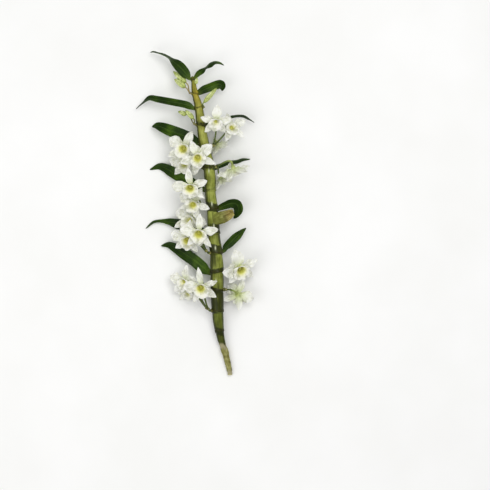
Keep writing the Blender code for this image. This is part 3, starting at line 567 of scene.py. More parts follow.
leafRows = {
    # from base to tip: plan x, plan y, height, half width in mm, roll in degrees
    "leaf_left_1": [
        (189.4, 78.6, 31.5, 2.6, 0), (186, 74.2, 31.5, 7.0, 0), (180.6, 68, 30, 8.0, 8),
        (175, 62.6, 27.5, 7.5, 32), (169.5, 58.0, 24.5, 7.0, 72), (161, 53.6, 20, 5.6, 80),
        (153.5, 51.2, 15, 3.6, 82), (149.6, 51.4, 12, 0.8, 82),
    ],
    "leaf_right_1": [
        (195.2, 77.2, 31.5, 2.6, 20), (199, 73, 32.5, 4.6, 38), (203, 70, 32, 5.2, 55),
        (206.5, 67.4, 31, 5.0, 78), (210.5, 64.4, 29, 5.2, 58), (215, 62.3, 26, 4.6, 60),
        (220, 62.8, 22, 2.8, 70), (223.8, 64.6, 18.5, 0.8, 72),
    ],
    "leaf_left_2": [
        (193.6, 108.4, 33, 2.8, 5), (189, 106.2, 34, 5.4, 18), (183, 104.4, 34, 6.0, 24),
        (170, 101.7, 32, 6.2, 30), (157, 99.4, 28, 6.0, 34), (149, 98.2, 23.5, 5.0, 42),
        (142, 102.4, 16.5, 3.2, 68), (135.4, 108, 10, 0.8, 75),
    ],
    "leaf_right_2": [
        (199.0, 92.6, 32, 4.2, 10), (204, 89.8, 34, 6.0, 16), (210, 87.4, 34.5, 6.4, 20),
        (216, 85.3, 33, 6.6, 16), (220.2, 84.4, 29.5, 6.6, 4), (222.2, 86.6, 24.5, 5.2, -8),
        (222.2, 90.2, 19, 0.8, -8),
    ],
    "leaf_left_3": [
        (196.8, 145.2, 31, 3.0, 0), (194, 141.5, 30.5, 8.0, 6), (186, 136.7, 29, 9.0, 10),
        (171.4, 131, 25.5, 9.0, 10), (163, 127.4, 21, 7.8, 14), (156.5, 125.2, 15.5, 5.2, 24),
        (151.5, 126, 10.5, 0.9, 34),
    ],
    "leaf_right_3": [
        (206.6, 125, 32.5, 3.6, 25), (212, 122, 31, 5.4, 55), (223.8, 119.4, 28, 5.8, 62),
        (232.3, 116.2, 24.5, 4.8, 66), (242, 115.5, 19, 4.0, 70), (249, 118.2, 13, 2.8, 74),
        (254.2, 121.6, 8.5, 0.8, 74),
    ],
    "leaf_left_4": [
        (204.8, 189.8, 27, 3.6, -20), (196, 185, 19, 7.0, -6), (183, 178, 12, 8.4, 0),
        (171.4, 171.3, 7.0, 8.0, 0), (164.8, 167.4, 4.4, 6.6, 0), (158, 165.8, 2.2, 4.6, 0),
        (149, 169, 0.5, 0.9, 0),
    ],
    "leaf_right_4": [
        (215.2, 168.0, 30, 3.2, 15), (219, 165.6, 27, 5.0, 52), (227, 162.7, 20.5, 5.4, 60),
        (236, 160.7, 12.5, 5.0, 60), (243, 159.2, 6.5, 3.8, 58), (250, 158.4, 1.2, 0.8, 50),
    ],
    "leaf_left_5": [
        (208.1, 233.8, 26, 3.6, -20), (200, 230.4, 17.5, 6.4, -6), (188, 226, 11.5, 7.5, 0),
        (177.5, 224, 8.8, 7.5, 4), (170, 221.8, 7.4, 5.6, 14), (161.5, 221, 5.2, 3.6, 40),
        (152.4, 222.4, 3.6, 2.6, 50), (144.9, 228.4, 2.2, 0.8, 50),
    ],
    "leaf_right_5": [
        (219.0, 208, 31, 4.4, 20), (225, 205.2, 33, 6.4, 34), (231, 203.4, 33, 7.2, 28),
        (236.6, 204.4, 29.5, 7.4, 12), (238.4, 209.4, 24, 6.8, 0), (236.6, 214.6, 17.5, 4.4, -6),
        (233.8, 218.2, 12, 0.9, -6),
    ],
    "leaf_left_6": [
        (209.6, 272.2, 23, 4.4, -14), (203, 268, 19.5, 8.6, -4), (193, 259.8, 16, 9.0, 0),
        (184, 253.6, 13, 8.8, 0), (175, 248, 9.5, 7.0, 0), (168, 245, 6.5, 4.4, 4),
        (160.6, 246, 3.5, 0.9, 8),
    ],
    "leaf_right_6": [
        (223.6, 251.0, 28.5, 2.8, 5), (226, 246.8, 27.5, 5.0, 12), (230.5, 242.4, 26, 6.4, 14),
        (236, 237, 23, 6.4, 20), (241, 232.5, 19, 4.8, 30), (246, 228, 14, 0.9, 38),
    ],
}


def bandAt(y, top, bottom, strength):
    # dark skin between two places, soft at its top and sharper at its bottom
    return strength * ease(top - 1.2, top + 1, y) * (1 - ease(bottom - 0.5, bottom + 0.5, y))


def makeCane():
    top, base = cane["line"][0][1], cane["line"][-1][1]
    places = set()
    y = top
    while y < base:
        places.add(round(y, 2))
        y += cane["spacing"]
    above, below = cane["ringClear"]
    for ring in cane["rings"]:
        places = {y for y in places if not above < y - ring < below}
        places |= {round(ring + step, 2) for step in cane["ringPlaces"]}
    places = sorted(y for y in places if top < y < base)
    # the cut end is flat: two rows and the pole lie in its plane
    places = [base, base - 0.001, base - 0.002] + places[::-1] + [top]
    middles = [caneAt(y)[0] for y in places]
    collars = [(plan(*rows[0][:3]), rows[0][1]) for rows in leafRows.values()]

    def radiusAt(i, turn, out):
        y = places[i]
        middle, radius = caneAt(y)
        if i == 1:
            return radius * cane["cutFlat"] * mm
        starts, full, thins, bare = cane["sheathed"]
        sheath = cane["wide"] * ease(starts, full, y) * (1 - ease(thins, bare, y))
        swollen = radius * (1 + caneSwell(y)) + sheath
        deepens, deepest, deeper = cane["footFurrow"]
        deep = cane["furrow"] * (1 + deeper * ease(deepens, deepest, y))
        # two runs of furrows, the second winding slowly round the cane
        swollen *= 1 + deep * (0.6 * math.sin(9 * turn + 1.3) + 0.6 * math.sin(14 * turn + y / 23))
        for root, place in collars:
            near = hump(place, cane["collarReach"], y)
            if near > 0.02:
                facing = max(out.dot((root - middle).normalized()), 0)
                swollen += cane["collar"] * near * facing**3
        # the tip closes in a dome
        swollen *= math.sqrt(min(1, (y - top) / 1.5 + 0.05))
        return swollen * mm

    piece = addTube(cane["sides"], middles, radiusAt)
    down = stem["middle"][1]
    spots = [(down - vertex.co.y / mm) / stem["step"] for vertex in piece.data.vertices]
    facing = [vertex.normal.z for vertex in piece.data.vertices]
    # the way its lit side faces, which sets the painted shade on its flanks
    litWays = [Vector((profile(cane["litSides"], y), 0, 1)).normalized() for y in spots]
    litFacing = [vertex.normal.dot(pale) for vertex, pale in zip(piece.data.vertices, litWays)]
    paint(piece, "age", lambda i: (spots[i] - top) / (base - top))

    def scarAt(i):
        lines = [hump(ring - cane["scarPlace"], cane["scarWidth"], spots[i]) for ring in cane["rings"]]
        return max(cane["faint"].get(ring, 1) * line for ring, line in zip(cane["rings"], lines))

    paint(piece, "scar", scarAt)
    paint(piece, "dry", lambda i: ease(*cane["dryFrom"], spots[i]))
    tilts = [vertex.normal.x * cane["bandTilt"] for vertex in piece.data.vertices]

    def bandOf(i):
        return max(bandAt(spots[i] + tilts[i] * (-1) ** n, *band) for n, band in enumerate(cane["bands"]))

    paint(piece, "band", bandOf)
    paint(piece, "cut", lambda i: ease(base - 0.2, base - 0.05, spots[i]))
    # painted shade on the flanks that turn away from the lit side
    paint(piece, "painted_flank_shade", lambda i: 1 - ease(*cane["shadeFades"], litFacing[i]))
    paint(piece, "joint", lambda i: sum(ring < spots[i] for ring in cane["rings"]))
    # painted highlights: pale specks, only where the skin faces up
    highlightSpots = [plan(x, y, 0) for x, y in cane["highlightSpots"]]
    highlightWide, highlightLong = cane["highlightSize"]

    def highlightAt(i):
        point = piece.data.vertices[i].co
        near = 0
        for spot in highlightSpots:
            across, along = (point.x - spot.x) / mm, (point.y - spot.y) / mm
            near = max(near, hump(0, highlightWide, across) * hump(0, highlightLong, along))
        return near if facing[i] > 0.3 else 0

    paint(piece, "painted_highlight", highlightAt)
    settle(piece, "cane_skin", "cane", caneFinish)
    for vertex in piece.data.vertices:
        vertex.co.z = max(vertex.co.z, 0)


makeCane()
print("cane made")

# Leaves

leaf = {
    "rows": 96,
    "columns": 20,
    "fold": 0.16,  # how far the edges rise over the middle, as a share of the half width
    "ribDepth": 0.5,  # mm
    "ribWidth": 0.08,  # share of the half width
    "wave": 0.6,  # mm that the edges wave
    "waves": 2.6,  # along the blade
    "wavy": (0.1, 0.3, 0.85, 1),  # the waves and the rib fade in and out at these shares of its length
    "uneven": 0.5,  # mm that its surface is uneven towards the edges
    "blunt": 0.035,  # share of the length over which the tip closes
    "thickness": 0.7,
    "foot": 0.4,  # share of the way from the cane's middle at which the blade starts
    "footDrop": 0.6,  # plan steps that it starts lower
    "footWidth": 0.8,  # half width there, as a share of the cane's radius
    "resting": ("leaf_left_4", "leaf_right_4"),  # their tips carry the stem
}


def bladePlace(rows, fold, shape):
    # shape(u, v, half) gives the height of the surface over the blade's own plane, in mm
    def place(u, v):
        x, y, z, half, roll = smoothLine(rows, u)
        ahead = plan(*smoothLine(rows, min(u + 0.02, 1))[:3])
        behind = plan(*smoothLine(rows, max(u - 0.02, 0))[:3])
        forward = (ahead - behind).normalized()
        across = forward.cross(Vector((0, 0, 1))).normalized()
        across = Matrix.Rotation(math.radians(roll), 3, forward) @ across
        face = across.cross(forward)
        closing = math.sqrt(max(1 - (max(u - 1 + leaf["blunt"], 0) / leaf["blunt"]) ** 2, 0))
        half = max(half * closing, 0.02)
        height = half * fold * v * v + shape(u, v, half)
        return plan(x, y, z) + (across * half * v + face * height) * mm

    return place


def rooted(rows):
    # the blade starts inside the cane, so that its collar closes round it
    x, y, z, half, roll = rows[0]
    middle, _, height, radius = caneRow(y)
    share = leaf["foot"]
    foot = (middle + (x - middle) * share, y + leaf["footDrop"], height + (z - height) * share)
    return [foot + (min(half, radius * leaf["footWidth"]), roll)] + rows


def makeLeaf(name, rows):
    vary = random.Random(name)
    phase = [vary.uniform(0, 6.28), vary.uniform(0, 6.28)]
    waves = leaf["waves"] * vary.uniform(0.8, 1.2)
    starts, full, fades, ends = leaf["wavy"]

    def shape(u, v, half):
        edge = abs(v) ** 3
        fading = 1 - ease(fades, ends, u)
        wave = leaf["wave"] * edge * math.sin(waves * 6.28 * u + phase[v > 0])
        wave *= ease(starts, full, u) * fading
        rib = -leaf["ribDepth"] * hump(0, leaf["ribWidth"], v) * fading
        soft = leaf["uneven"] * noise.noise(Vector((u * 6, v * 1.5, phase[0])))
        return wave + rib + soft * v * v

    piece = addSheet(leaf["rows"], leaf["columns"], bladePlace(rooted(rows), leaf["fold"], shape))
    places = [gridPlace(index, leaf["rows"], leaf["columns"]) for index in range(len(piece.data.vertices))]
    paint(piece, "rib", lambda i: hump(0, 0.05, places[i][1]) * (1 - ease(0.7, 0.97, places[i][0])))
    paint(piece, "tip", lambda i: 0.8 * ease(0.97, 1, places[i][0]))
    paint(piece, "root", lambda i: 1 - ease(0.06, 0.26, places[i][0]))
    thicken(piece, leaf["thickness"])
    paintUnder(piece)
    if name in leaf["resting"]:
        low = min(vertex.co.z for vertex in piece.data.vertices)
        for vertex in piece.data.vertices:
            vertex.co.z -= low
    settle(piece, name + "_blade", name, leafFinish)


def gridPlace(index, rows, columns):
    # where a grid's point lies: u along from 0 to 1 and v across from -1 to 1
    return index % (rows + 1) / rows, 2 * (index // (rows + 1)) / columns - 1


def paintUnder(piece):
    # 1 on the side that faces down, for the paler back
    normals = [vertex.normal.z for vertex in piece.data.vertices]
    paint(piece, "under", lambda i: float(normals[i] < 0))


for leafName, rows in leafRows.items():
    makeLeaf(leafName, rows)
print("leaves made")

# Flowers, in their own frame: the throat's middle at 0, +Z out of the flower, +Y to the back sepal

blooms = {
    # plan x, plan y, height, way it faces, lean, way of its back sepal, lift of its petals, size
    "bloom_a1": (183.0, 149.8, 51, 180, 12, 68, 14, 1.0),
    "bloom_a2": (198.0, 160.0, 73, 215, 16, 118, 12, 1.0),
    "bloom_a3": (184.0, 165.5, 30, 235, 12, 88, 12, 0.88),
    "bloom_b1": (216.0, 124.6, 60, 270, 16, 86, 16, 0.84),
    "bloom_b2": (232.5, 128.0, 44, 60, 24, 104, 22, 0.88),
    "bloom_b3": (219.0, 147.2, 22, 300, 130, 120, 32, 0.76),
    "bloom_c1": (235.0, 173.6, 45, 285, 124, 108, 28, 0.95),
    "bloom_c2": (223.0, 180.8, 20.5, 300, 130, 118, 34, 0.76),
    "bloom_d1": (190.4, 189.8, 70, 235, 20, 96, 12, 1.0),
    "bloom_d2": (193.0, 205.8, 50, 270, 12, 62, 12, 0.9),
    "bloom_e1": (188.5, 221.0, 34, 150, 10, 64, 14, 0.95),
    "bloom_e2": (198.8, 235.0, 64, 235, 14, 88, 12, 1.0),
    "bloom_e3": (187.3, 241.6, 43, 250, 22, 80, 14, 0.98),
    "bloom_f1": (200.7, 288.9, 54, 225, 18, 100, 12, 1.0),
    "bloom_f2": (182.0, 283.0, 34, 190, 34, 78, 22, 0.92),
    "bloom_f3": (187.5, 295.2, 16.5, 258, 36, 86, 20, 0.72),
    "bloom_g1": (242.0, 271.3, 43, 320, 34, 110, 16, 1.1),
    "bloom_g2": (239.2, 296.6, 16.5, 340, 152, 62, 14, 0.92),
}
# narrow or broad ones, as a share of the usual width: back sepal, left and right side sepals,
# left and right petals
bloomWidths = {
    "bloom_a1": (1, 1, 1, 1, 0.85),
    "bloom_a2": (1, 0.9, 0.9, 0.65, 0.9),
    "bloom_b1": (1.4, 1, 1, 0.65, 0.8),
    "bloom_d1": (1, 0.9, 0.8, 0.85, 0.6),
    "bloom_d2": (1, 0.7, 1, 1, 0.6),
    "bloom_e2": (0.9, 0.9, 0.9, 0.9, 0.62),
    "bloom_f1": (0.9, 0.9, 1.1, 0.9, 0.45),
    "bloom_g1": (1.5, 1, 0.9, 1.1, 0.6),
    "bloom_g2": (0.9, 1.1, 1, 1, 1.1),
}
usualWidths = (1, 1, 1, 1, 1)
tepal = {
    "root": 1.2,  # mm from the flower's axis
    "axis": 2.6,  # mm, height of the axis over the throat's middle
    "cup": 0.22,  # how far the edges rise over the middle, as a share of the half width
    "groove": 0.4,  # mm deep along the middle at the root
    "twist": 0.3,  # slope that a tip may lean to one side
    "sway": 2.5,  # degrees that each turns and lifts off the common pattern
    "thickness": 0.5,
}
# mm and degrees: half widths go by stops along the length, and curl is how far each bends back
sepal = {
    "length": 27.4, "half": 6.2, "height": -10.2, "lift": -4, "turns": (0, 141, -141), "slim": 0,
    "stops": [(0, 0.3), (0.22, 0.78), (0.45, 1.0), (0.68, 0.82), (0.86, 0.42), (0.96, 0.14), (1, 0.0)],
    "rows": 32, "columns": 12, "wave": 1.0, "waves": 1.5, "crumple": 0.8, "ragged": 0.08, "curl": 26,
}
petal = {
    "length": 27.2, "half": 11.2, "height": -8.6, "lift": 2, "turns": (80, -80), "slim": 110,
    "stops": [
        (0, 0.18), (0.22, 0.58), (0.46, 0.96), (0.6, 1.0), (0.76, 0.82), (0.9, 0.46), (0.97, 0.2), (1, 0.0),
    ],
    "rows": 42, "columns": 26, "wave": 2.3, "waves": 2.4, "crumple": 1.7, "ragged": 0.12, "curl": 22,
}
lip = {
    # rings from the root to the rim: middle y, height, half width, half height in mm
    "rings": [(2.3, -7.2, 2.3, 2.3), (0.4, -2.2, 6.4, 6.0), (-1.8, 1.4, 12.2, 11.2)],
    "rimDroop": 1.6, "sideDroop": 1.0, "rollBack": 1.5,  # mm that its rim hangs down
    "frill": 0.9, "frills": 9, "ripple": 3.0,  # mm of frill round the rim, how many, and broader ripples
    "ragged": 0.16,  # share of its width that the rim varies
    "rows": 28, "columns": 84, "thickness": 0.45,
    "openLift": 20, "slim": 60,  # petals lifted past the first narrow the trumpet, over the second
    # how much of the yellow these have lost
    "pale": {
        "bloom_a3": 0.32, "bloom_b1": 0.46, "bloom_b2": 0.28, "bloom_b3": 0.3, "bloom_c1": 0.42,
        "bloom_c2": 0.36, "bloom_d2": 0.1, "bloom_e1": 0.4, "bloom_f2": 0.4, "bloom_f3": 0.34,
    },
}
column = {
    # ovary neck and column, back to front: middle y, height and radius in mm
    "line": [
        (4.2, -15.0, 1.7), (3.5, -12.8, 2.2), (3.0, -11.0, 2.9), (2.4, -8.6, 3.4), (2.2, -6.8, 2.6),
        (3.0, -5.2, 1.6), (3.9, -3.8, 1.3),
    ],
    "capPlace": 0.93, "cap": 0.3, "chin": 1.1, "chinPlace": 0.42, "rings": 40, "sides": 24,
}


def screenWay(degrees):
    return Vector((math.cos(math.radians(degrees)), math.sin(math.radians(degrees)), 0))


def bloomMatrix(row):
    x, y, z, toward, lean, back, lift, size = row
    lean = math.radians(lean)
    face = screenWay(toward) * math.sin(lean) + Vector((0, 0, math.cos(lean)))
    up = screenWay(back)
    up = (up - face * up.dot(face)).normalized()
    turned = Matrix((up.cross(face), up, face)).transposed().to_4x4()
    return Matrix.Translation(plan(x, y, z)) @ turned


def makeTepal(kind, turn, lift, width, size, vary):
    length = kind["length"] * size * vary.uniform(0.95, 1.04)
    half = kind["half"] * size * width * vary.uniform(0.92, 1.05)
    start = math.radians(lift)
    bend = -math.radians(kind["curl"] * vary.uniform(0.5, 1.6))
    twist = vary.uniform(-tepal["twist"], tepal["twist"])
    spin = Matrix.Rotation(math.radians(turn), 3, "Z")
    phase = [vary.uniform(0, 6.28), vary.uniform(0, 6.28)]
    waves = kind["waves"] * vary.uniform(0.85, 1.2)
    seed = vary.uniform(0, 50)

    def place(u, v):
        angle = start + bend * u
        out = length * (math.sin(angle) - math.sin(start)) / bend
        rise = length * (math.cos(start) - math.cos(angle)) / bend
        ragged = 1 + kind["ragged"] * noise.noise(Vector((u * 7, 3 * (v > 0), seed)))
        wide = half * profile(kind["stops"], u) * ragged
        edge = abs(v) ** 2 * math.sin(3.14 * min(u * 1.02, 1)) ** 0.5
        stand = tepal["cup"] * wide * v * v + twist * wide * v * u
        stand += kind["wave"] * size * edge * math.sin(waves * 6.28 * u + phase[v > 0])
        stand -= tepal["groove"] * hump(0, 0.1, v) * (1 - u)
        stand += kind["crumple"] * noise.noise(Vector((u * 4, v * 2, seed)))
        stand += 0.3 * kind["crumple"] * noise.noise(Vector((u * 11, v * 6, seed)))
        far = tepal["root"] + out - stand * math.sin(angle)
        point = Vector((-wide * v, far, rise + stand * math.cos(angle)))
        return (spin @ point + Vector((0, tepal["axis"], kind["height"] * size))) * mm

    piece = addSheet(kind["rows"], kind["columns"], place)
    paint(piece, "reach", lambda i: gridPlace(i, kind["rows"], kind["columns"])[0])
    return thicken(piece, tepal["thickness"])


def makeTepals(name, row):
    lift, size = row[6], row[7]
    vary = random.Random(name)  # the same draws as the solid's
    wavy = random.Random(name + "_wave")
    widths = bloomWidths.get(name, usualWidths)
    pieces = []
    for kind in (sepal, petal):
        for turn in kind["turns"]:
            width = widths[len(pieces)] * (1 - lift / kind["slim"] if kind["slim"] else 1)
            turn += vary.uniform(-tepal["sway"], tepal["sway"])
            bent = lift + kind["lift"] + vary.uniform(-tepal["sway"], tepal["sway"])
            pieces.append(makeTepal(kind, turn, bent, width, size, wavy))
    piece = joined(pieces)
    paintUnder(piece)
    piece.data.transform(bloomMatrix(row))
    settle(piece, name + "_tepals", name, petalFinish)


def makeLip(name, row):
    lift, size = row[6], row[7]
    spread = 1 - max(lift - lip["openLift"], 0) / lip["slim"]
    vary = random.Random(name + "_lip")
    phase = vary.uniform(0, 6.28)
    seed = vary.uniform(0, 50)

    def place(u, v):
        middle, height, wide, high = smoothLine(lip["rings"], u)
        around = v * math.pi
        x, y = math.sin(around), math.cos(around)
        rim = ease(0.5, 1, u)
        height -= rim * (lip["rimDroop"] * max(-y, 0) + lip["sideDroop"] * x * x)
        flare = ease(0.6, 1, u)
        strong = 0.6 + 0.8 * noise.noise(Vector((x, y, seed)))
        frill = lip["frill"] * strong * flare**2 * math.sin(lip["frills"] * around + phase)
        frill += lip["ripple"] * flare * noise.noise(Vector((x * 1.7, y * 1.7, seed)))
        height += frill - lip["rollBack"] * ease(0.84, 1, u)
        ragged = 1 + flare * lip["ragged"] * noise.noise(Vector((x * 2.4, y * 2.4, seed + 9)))
        wide *= ragged
        # the front lobe reaches out and the edge under the back sepal is short
        high *= ragged * (1 + flare * (0.14 * max(-y, 0) ** 3 - 0.12 * max(y, 0) ** 2))
        return Vector((x * wide * spread * size, (middle + y * high * spread) * size, height * size)) * mm

    piece = addSheet(lip["rows"], lip["columns"], place)
    pale = lip["pale"].get(name, 0)

    def throat(i):
        # the yellow reaches further on the front lobe than under the column
        u, v = gridPlace(i, lip["rows"], lip["columns"])
        return pale + (1 - pale) * u + 0.06 * math.cos(v * math.pi) * (1 - u)

    paint(piece, "reach", throat)
    # the trumpet closes where its two long edges meet
    pick([piece])
    bpy.ops.object.mode_set(mode="EDIT")
    bpy.ops.mesh.select_all(action="SELECT")
    bpy.ops.mesh.remove_doubles(threshold=0.00001)
    bpy.ops.object.mode_set(mode="OBJECT")
    thicken(piece, lip["thickness"])
    piece.data.transform(bloomMatrix(row))
    settle(piece, name + "_lip", name, lipFinish)


def makeColumn(name, row):
    # the ovary neck behind the flower and the column over its throat, in one
    size = row[7]
    count = column["rings"]
    spots = [smoothLine(column["line"], min(i / (count - 3), 1)) for i in range(count + 1)]
    points = [Vector((0, y, z)) * size * mm for y, z, _ in spots]
    # three more rings close its cap
    ahead = (points[count - 4] - points[count - 8]).normalized()
    for more in (2, 1, 0):
        points[count - more] = points[count - 3] + ahead * (3 - more) * 0.5 * size * mm
    points[0] = points[1] + (points[1] - points[2]) * 0.1

    def radiusAt(i, turn, out):
        along = i / count
        radius = spots[i][2]
        radius += column["chin"] * hump(column["chinPlace"], 0.14, along) * max(-out.y, 0)
        radius += column["cap"] * hump(column["capPlace"], 0.05, along)
        if i > count - 3:
            radius *= (0.9, 0.6)[i - count + 2]
        return radius * size * mm

    piece = addTube(column["sides"], points, radiusAt)
    heights = [vertex.co.z for vertex in piece.data.vertices]
    low, high = min(heights), max(heights)
    paint(piece, "reach", lambda i: (heights[i] - low) / (high - low))
    piece.data.transform(bloomMatrix(row))
    settle(piece, name + "_column", name, columnFinish)


for bloomName, row in blooms.items():
    makeTepals(bloomName, row)
    makeLip(bloomName, row)
    makeColumn(bloomName, row)
print("flowers made")

# Buds

buds = {
    "bud_left_1": ((186.0, 82.6, 29), (173.0, 70.8, 22), 4.4),
    "bud_left_2": ((185.4, 87.4, 33), (174.2, 78.8, 26), 4.4),
    "bud_right": ((203.8, 103.0, 37), (217.1, 88.6, 44), 3.6),
    "bud_left_3": ((186.4, 114.4, 26), (178.0, 111.0, 23), 3.6),
    "bud_left_4": ((193.6, 118.8, 34), (185.5, 110.5, 36), 3.6),
    "bud_top": ((195.9, 84.4, 35.6), (197.2, 78.0, 37.5), 2.7),
}
bud = {
    "plump": 1.13, "baseWidth": 1.12, "taper": 0.5, "chin": 0.25, "tipSlim": 0.18,  # shares of its radius
    "seam": 0.05,  # share of the radius that a seam is deep
    "sides": 48, "rings": 40,
}


def makeBud(name, base, tip, radius):
    base, tip = plan(*base), plan(*tip)
    length = (tip - base).length
    bpy.ops.mesh.primitive_uv_sphere_add(segments=bud["sides"], ring_count=bud["rings"], radius=1)
    piece = bpy.context.active_object
    seams, alongs = [], []
    for vertex in piece.data.vertices:
        x, y, z = vertex.co
        along = (z + 1) / 2
        turn = math.atan2(y, x)
        # three sepals meet in shallow seams
        seam = abs(math.cos(1.5 * turn + 0.8)) ** 30 * ease(0.1, 0.3, along)
        wide = radius * bud["plump"] * mm * (bud["baseWidth"] - bud["taper"] * along)
        wide *= (1 - bud["seam"] * seam) * (1 - bud["tipSlim"] * ease(0.8, 1, along))
        chin = bud["chin"] * radius * mm * hump(0.2, 0.14, along)
        vertex.co = Vector((x * wide, y * wide - chin, along * length))
        alongs.append(along)
        seams.append(seam * 0.6)
    paint(piece, "reach", lambda i: alongs[i])
    paint(piece, "seam", lambda i: seams[i])
    turned = (tip - base).to_track_quat("Z", "Y").to_matrix().to_4x4()
    piece.data.transform(Matrix.Translation(base) @ turned)
    settle(piece, name + "_skin", name, budFinish)


for budName, (base, tip, radius) in buds.items():
    makeBud(budName, base, tip, radius)
print("buds made")

# Stalks: ring, side of the cane, degrees round towards the top, and each end with its bow in mm

stalks = {
    "stalk_a": (168, -1, -20, (("bloom_a1", 8), ("bloom_a2", 8), ("bloom_a3", -9))),
    "stalk_b": (148, 1, 25, (("bloom_b1", 0), ("bloom_b2", 0), ("bloom_b3", 0))),
    "stalk_c": (168, 1, 38, (("bloom_c1", 2), ("bloom_c2", 5))),
    "stalk_d": (209, -1, 25, (("bloom_d1", 0), ("bloom_d2", -3))),
    "stalk_e": (253, -1, 25, (("bloom_e1", 6), ("bloom_e2", 0), ("bloom_e3", -8))),
    "stalk_f": (311, -1, 20, (("bloom_f1", 3), ("bloom_f2", 8), ("bloom_f3", -3))),
    "stalk_g": (272, 1, 20, (("bloom_g1", 0),)),
    "stalk_h": (290, 1, 10, (("bloom_g2", 0),)),
    "bud_stalk_left": (94, -1, 20, (("bud_left_1", 0), ("bud_left_2", 0))),
    "bud_stalk_right": (108, 1, 30, (("bud_right", 0),)),
    "bud_stalk_low": (125, -1, 10, (("bud_left_3", 0), ("bud_left_4", 0))),
}
stalk = {
    # the short trunk, in mm, and the shares of it where it bends and forks
    "length": 6.0, "radius": 2.1, "upturn": 0.5, "elbow": 0.35, "forkStart": 0.2, "forkStep": 0.25,
    "foot": 1.2, "trunkPoints": 14, "trunkSides": 20,
    # its branches: radii in mm, and how strongly their ends pull at the curve
    "thin": 1.25, "ovary": 1.7, "budEnd": 1.0, "budSlim": 0.68, "pull": 0.36, "aim": 0.6,
    "ovaryStart": 0.6, "ovaryRib": 0.05, "seat": 1.6, "points": 34, "sides": 16, "overlap": 0.7,
    "neckEnd": (0.0, 4.2, -15.0), "neckWay": (0.0, 0.3, -1.0),
    "bractLength": 3.6, "bractFlare": 1.25, "bractThickness": 0.2,
    "blush": {"bud_stalk_left": 0.7, "bud_stalk_low": 0.25},  # how far these have turned tan
}


def stalkEnd(name):
    # where a stalk ends, the way it arrives there and its radius there
    if name in buds:
        base, tip = plan(*buds[name][0]), plan(*buds[name][1])
        return base, (tip - base).normalized(), stalk["budEnd"]
    turned = bloomMatrix(blooms[name])
    back = Vector(stalk["neckWay"]).normalized()
    point = turned @ (Vector(stalk["neckEnd"]) * mm * blooms[name][7])
    return point, turned.to_3x3() @ -back, stalk["ovary"]


def addBract(root, way, radius, vary):
    # small dry scale that wraps the foot of a stalk
    length = stalk["bractLength"] * vary.uniform(0.8, 1.2) * min(radius / 1.6, 1)
    side = way.orthogonal().normalized()
    side = Matrix.Rotation(vary.uniform(0, 6.28), 3, way) @ side
    over = way.cross(side)

    def place(u, v):
        turn = v * 2.5 * (1 - 0.55 * u * u)
        out = side * math.cos(turn) + over * math.sin(turn)
        reach = radius * (1.02 + (stalk["bractFlare"] - 1) * u * u) + 0.25
        along = length * u * (1 - 0.35 * abs(v))
        return root + (way * (along - 0.6) + out * reach) * mm

    return thicken(addSheet(8, 16, place), stalk["bractThickness"])


def makeStalk(name, ring, side, rise, ends):
    # a short trunk that turns up from its ring, and a curved branch to each flower or bud
    vary = random.Random(name)
    slim = stalk["budSlim"] if name.startswith("bud") else 1
    middle, radius = caneAt(ring)
    angle = math.radians(rise)
    out = Vector((side * math.cos(angle), 0, math.sin(angle)))
    start = middle + out * (radius * (1 + profile(cane["ringSwell"], 0.5))) * mm
    grow = (out + Vector((0, stalk["upturn"], 0))).normalized()
    reach = stalk["length"] * slim * mm
    thick = stalk["radius"] * slim
    elbow = start + out * reach * stalk["elbow"]
    tip = elbow + grow * reach * (1 - stalk["elbow"])
    foot = start - out * stalk["foot"] * mm
    count = stalk["trunkPoints"]
    trunk = []
    for i in range(count + 1):
        t = i / count
        trunk.append(foot.lerp(elbow, t).lerp(elbow.lerp(tip, t), t))

    def trunkRadius(i, turn, out):
        return thick * (1.1 - 0.4 * i / count) * mm * min(1, (count - i) / 2)

    pieces = [addTube(stalk["trunkSides"], trunk, trunkRadius)]
    paint(pieces[0], "reach", lambda i: 0.1)
    bracts = [addBract(start, grow, thick * 1.02, vary)]
    for number, (endName, bow) in enumerate(ends):
        end, arrive, endRadius = stalkEnd(endName)
        fork = elbow + (tip - elbow) * (stalk["forkStart"] + stalk["forkStep"] * number)
        leave = (grow + (end - fork).normalized() * stalk["aim"]).normalized()
        stop = end - arrive * stalk["seat"] * mm
        pull = (stop - fork).length * stalk["pull"]
        first = fork + leave * pull + Vector((0, 0, bow * mm))
        second = stop - arrive * pull + Vector((0, 0, bow * mm))
        points = []
        for i in range(stalk["points"]):
            t = i / (stalk["points"] - 1)
            near = fork.lerp(first, t).lerp(first.lerp(second, t), t)
            far = first.lerp(second, t).lerp(second.lerp(stop, t), t)
            points.append(near.lerp(far, t))
        points += [stop.lerp(end, 0.5), end, end + arrive * stalk["overlap"] * mm]
        last = len(points) - 1
        thin = stalk["thin"] * slim

        def radiusAt(i, turn, out):
            along = i / last
            swell = ease(stalk["ovaryStart"], 1, along)
            radius = thin + (endRadius - thin) * swell
            # the ovary has three low ribs
            radius *= 1 + stalk["ovaryRib"] * swell * math.cos(3 * turn + 2 * along)
            return radius * mm

        tube = addTube(stalk["sides"], points, radiusAt)
        first = points[0]
        total = (points[-1] - first).length
        fars = [(vertex.co - first).length / total for vertex in tube.data.vertices]
        paint(tube, "reach", lambda i: min(fars[i], 1))
        pieces.append(tube)
        bracts.append(addBract(points[2], (points[4] - points[2]).normalized(), thin * 1.25, vary))
    piece = joined(pieces)
    paint(piece, "blush", lambda i: stalk["blush"].get(name, 0))
    settle(piece, name + "_skin", name, stalkFinish)
    settle(joined(bracts), name + "_bracts", None, paperFinish)


for stalkName, (ring, side, rise, ends) in stalks.items():
    makeStalk(stalkName, ring, side, rise, ends)
print("stalks made")

# Dry sheath that stands off the cane, and the papery remains at its foot

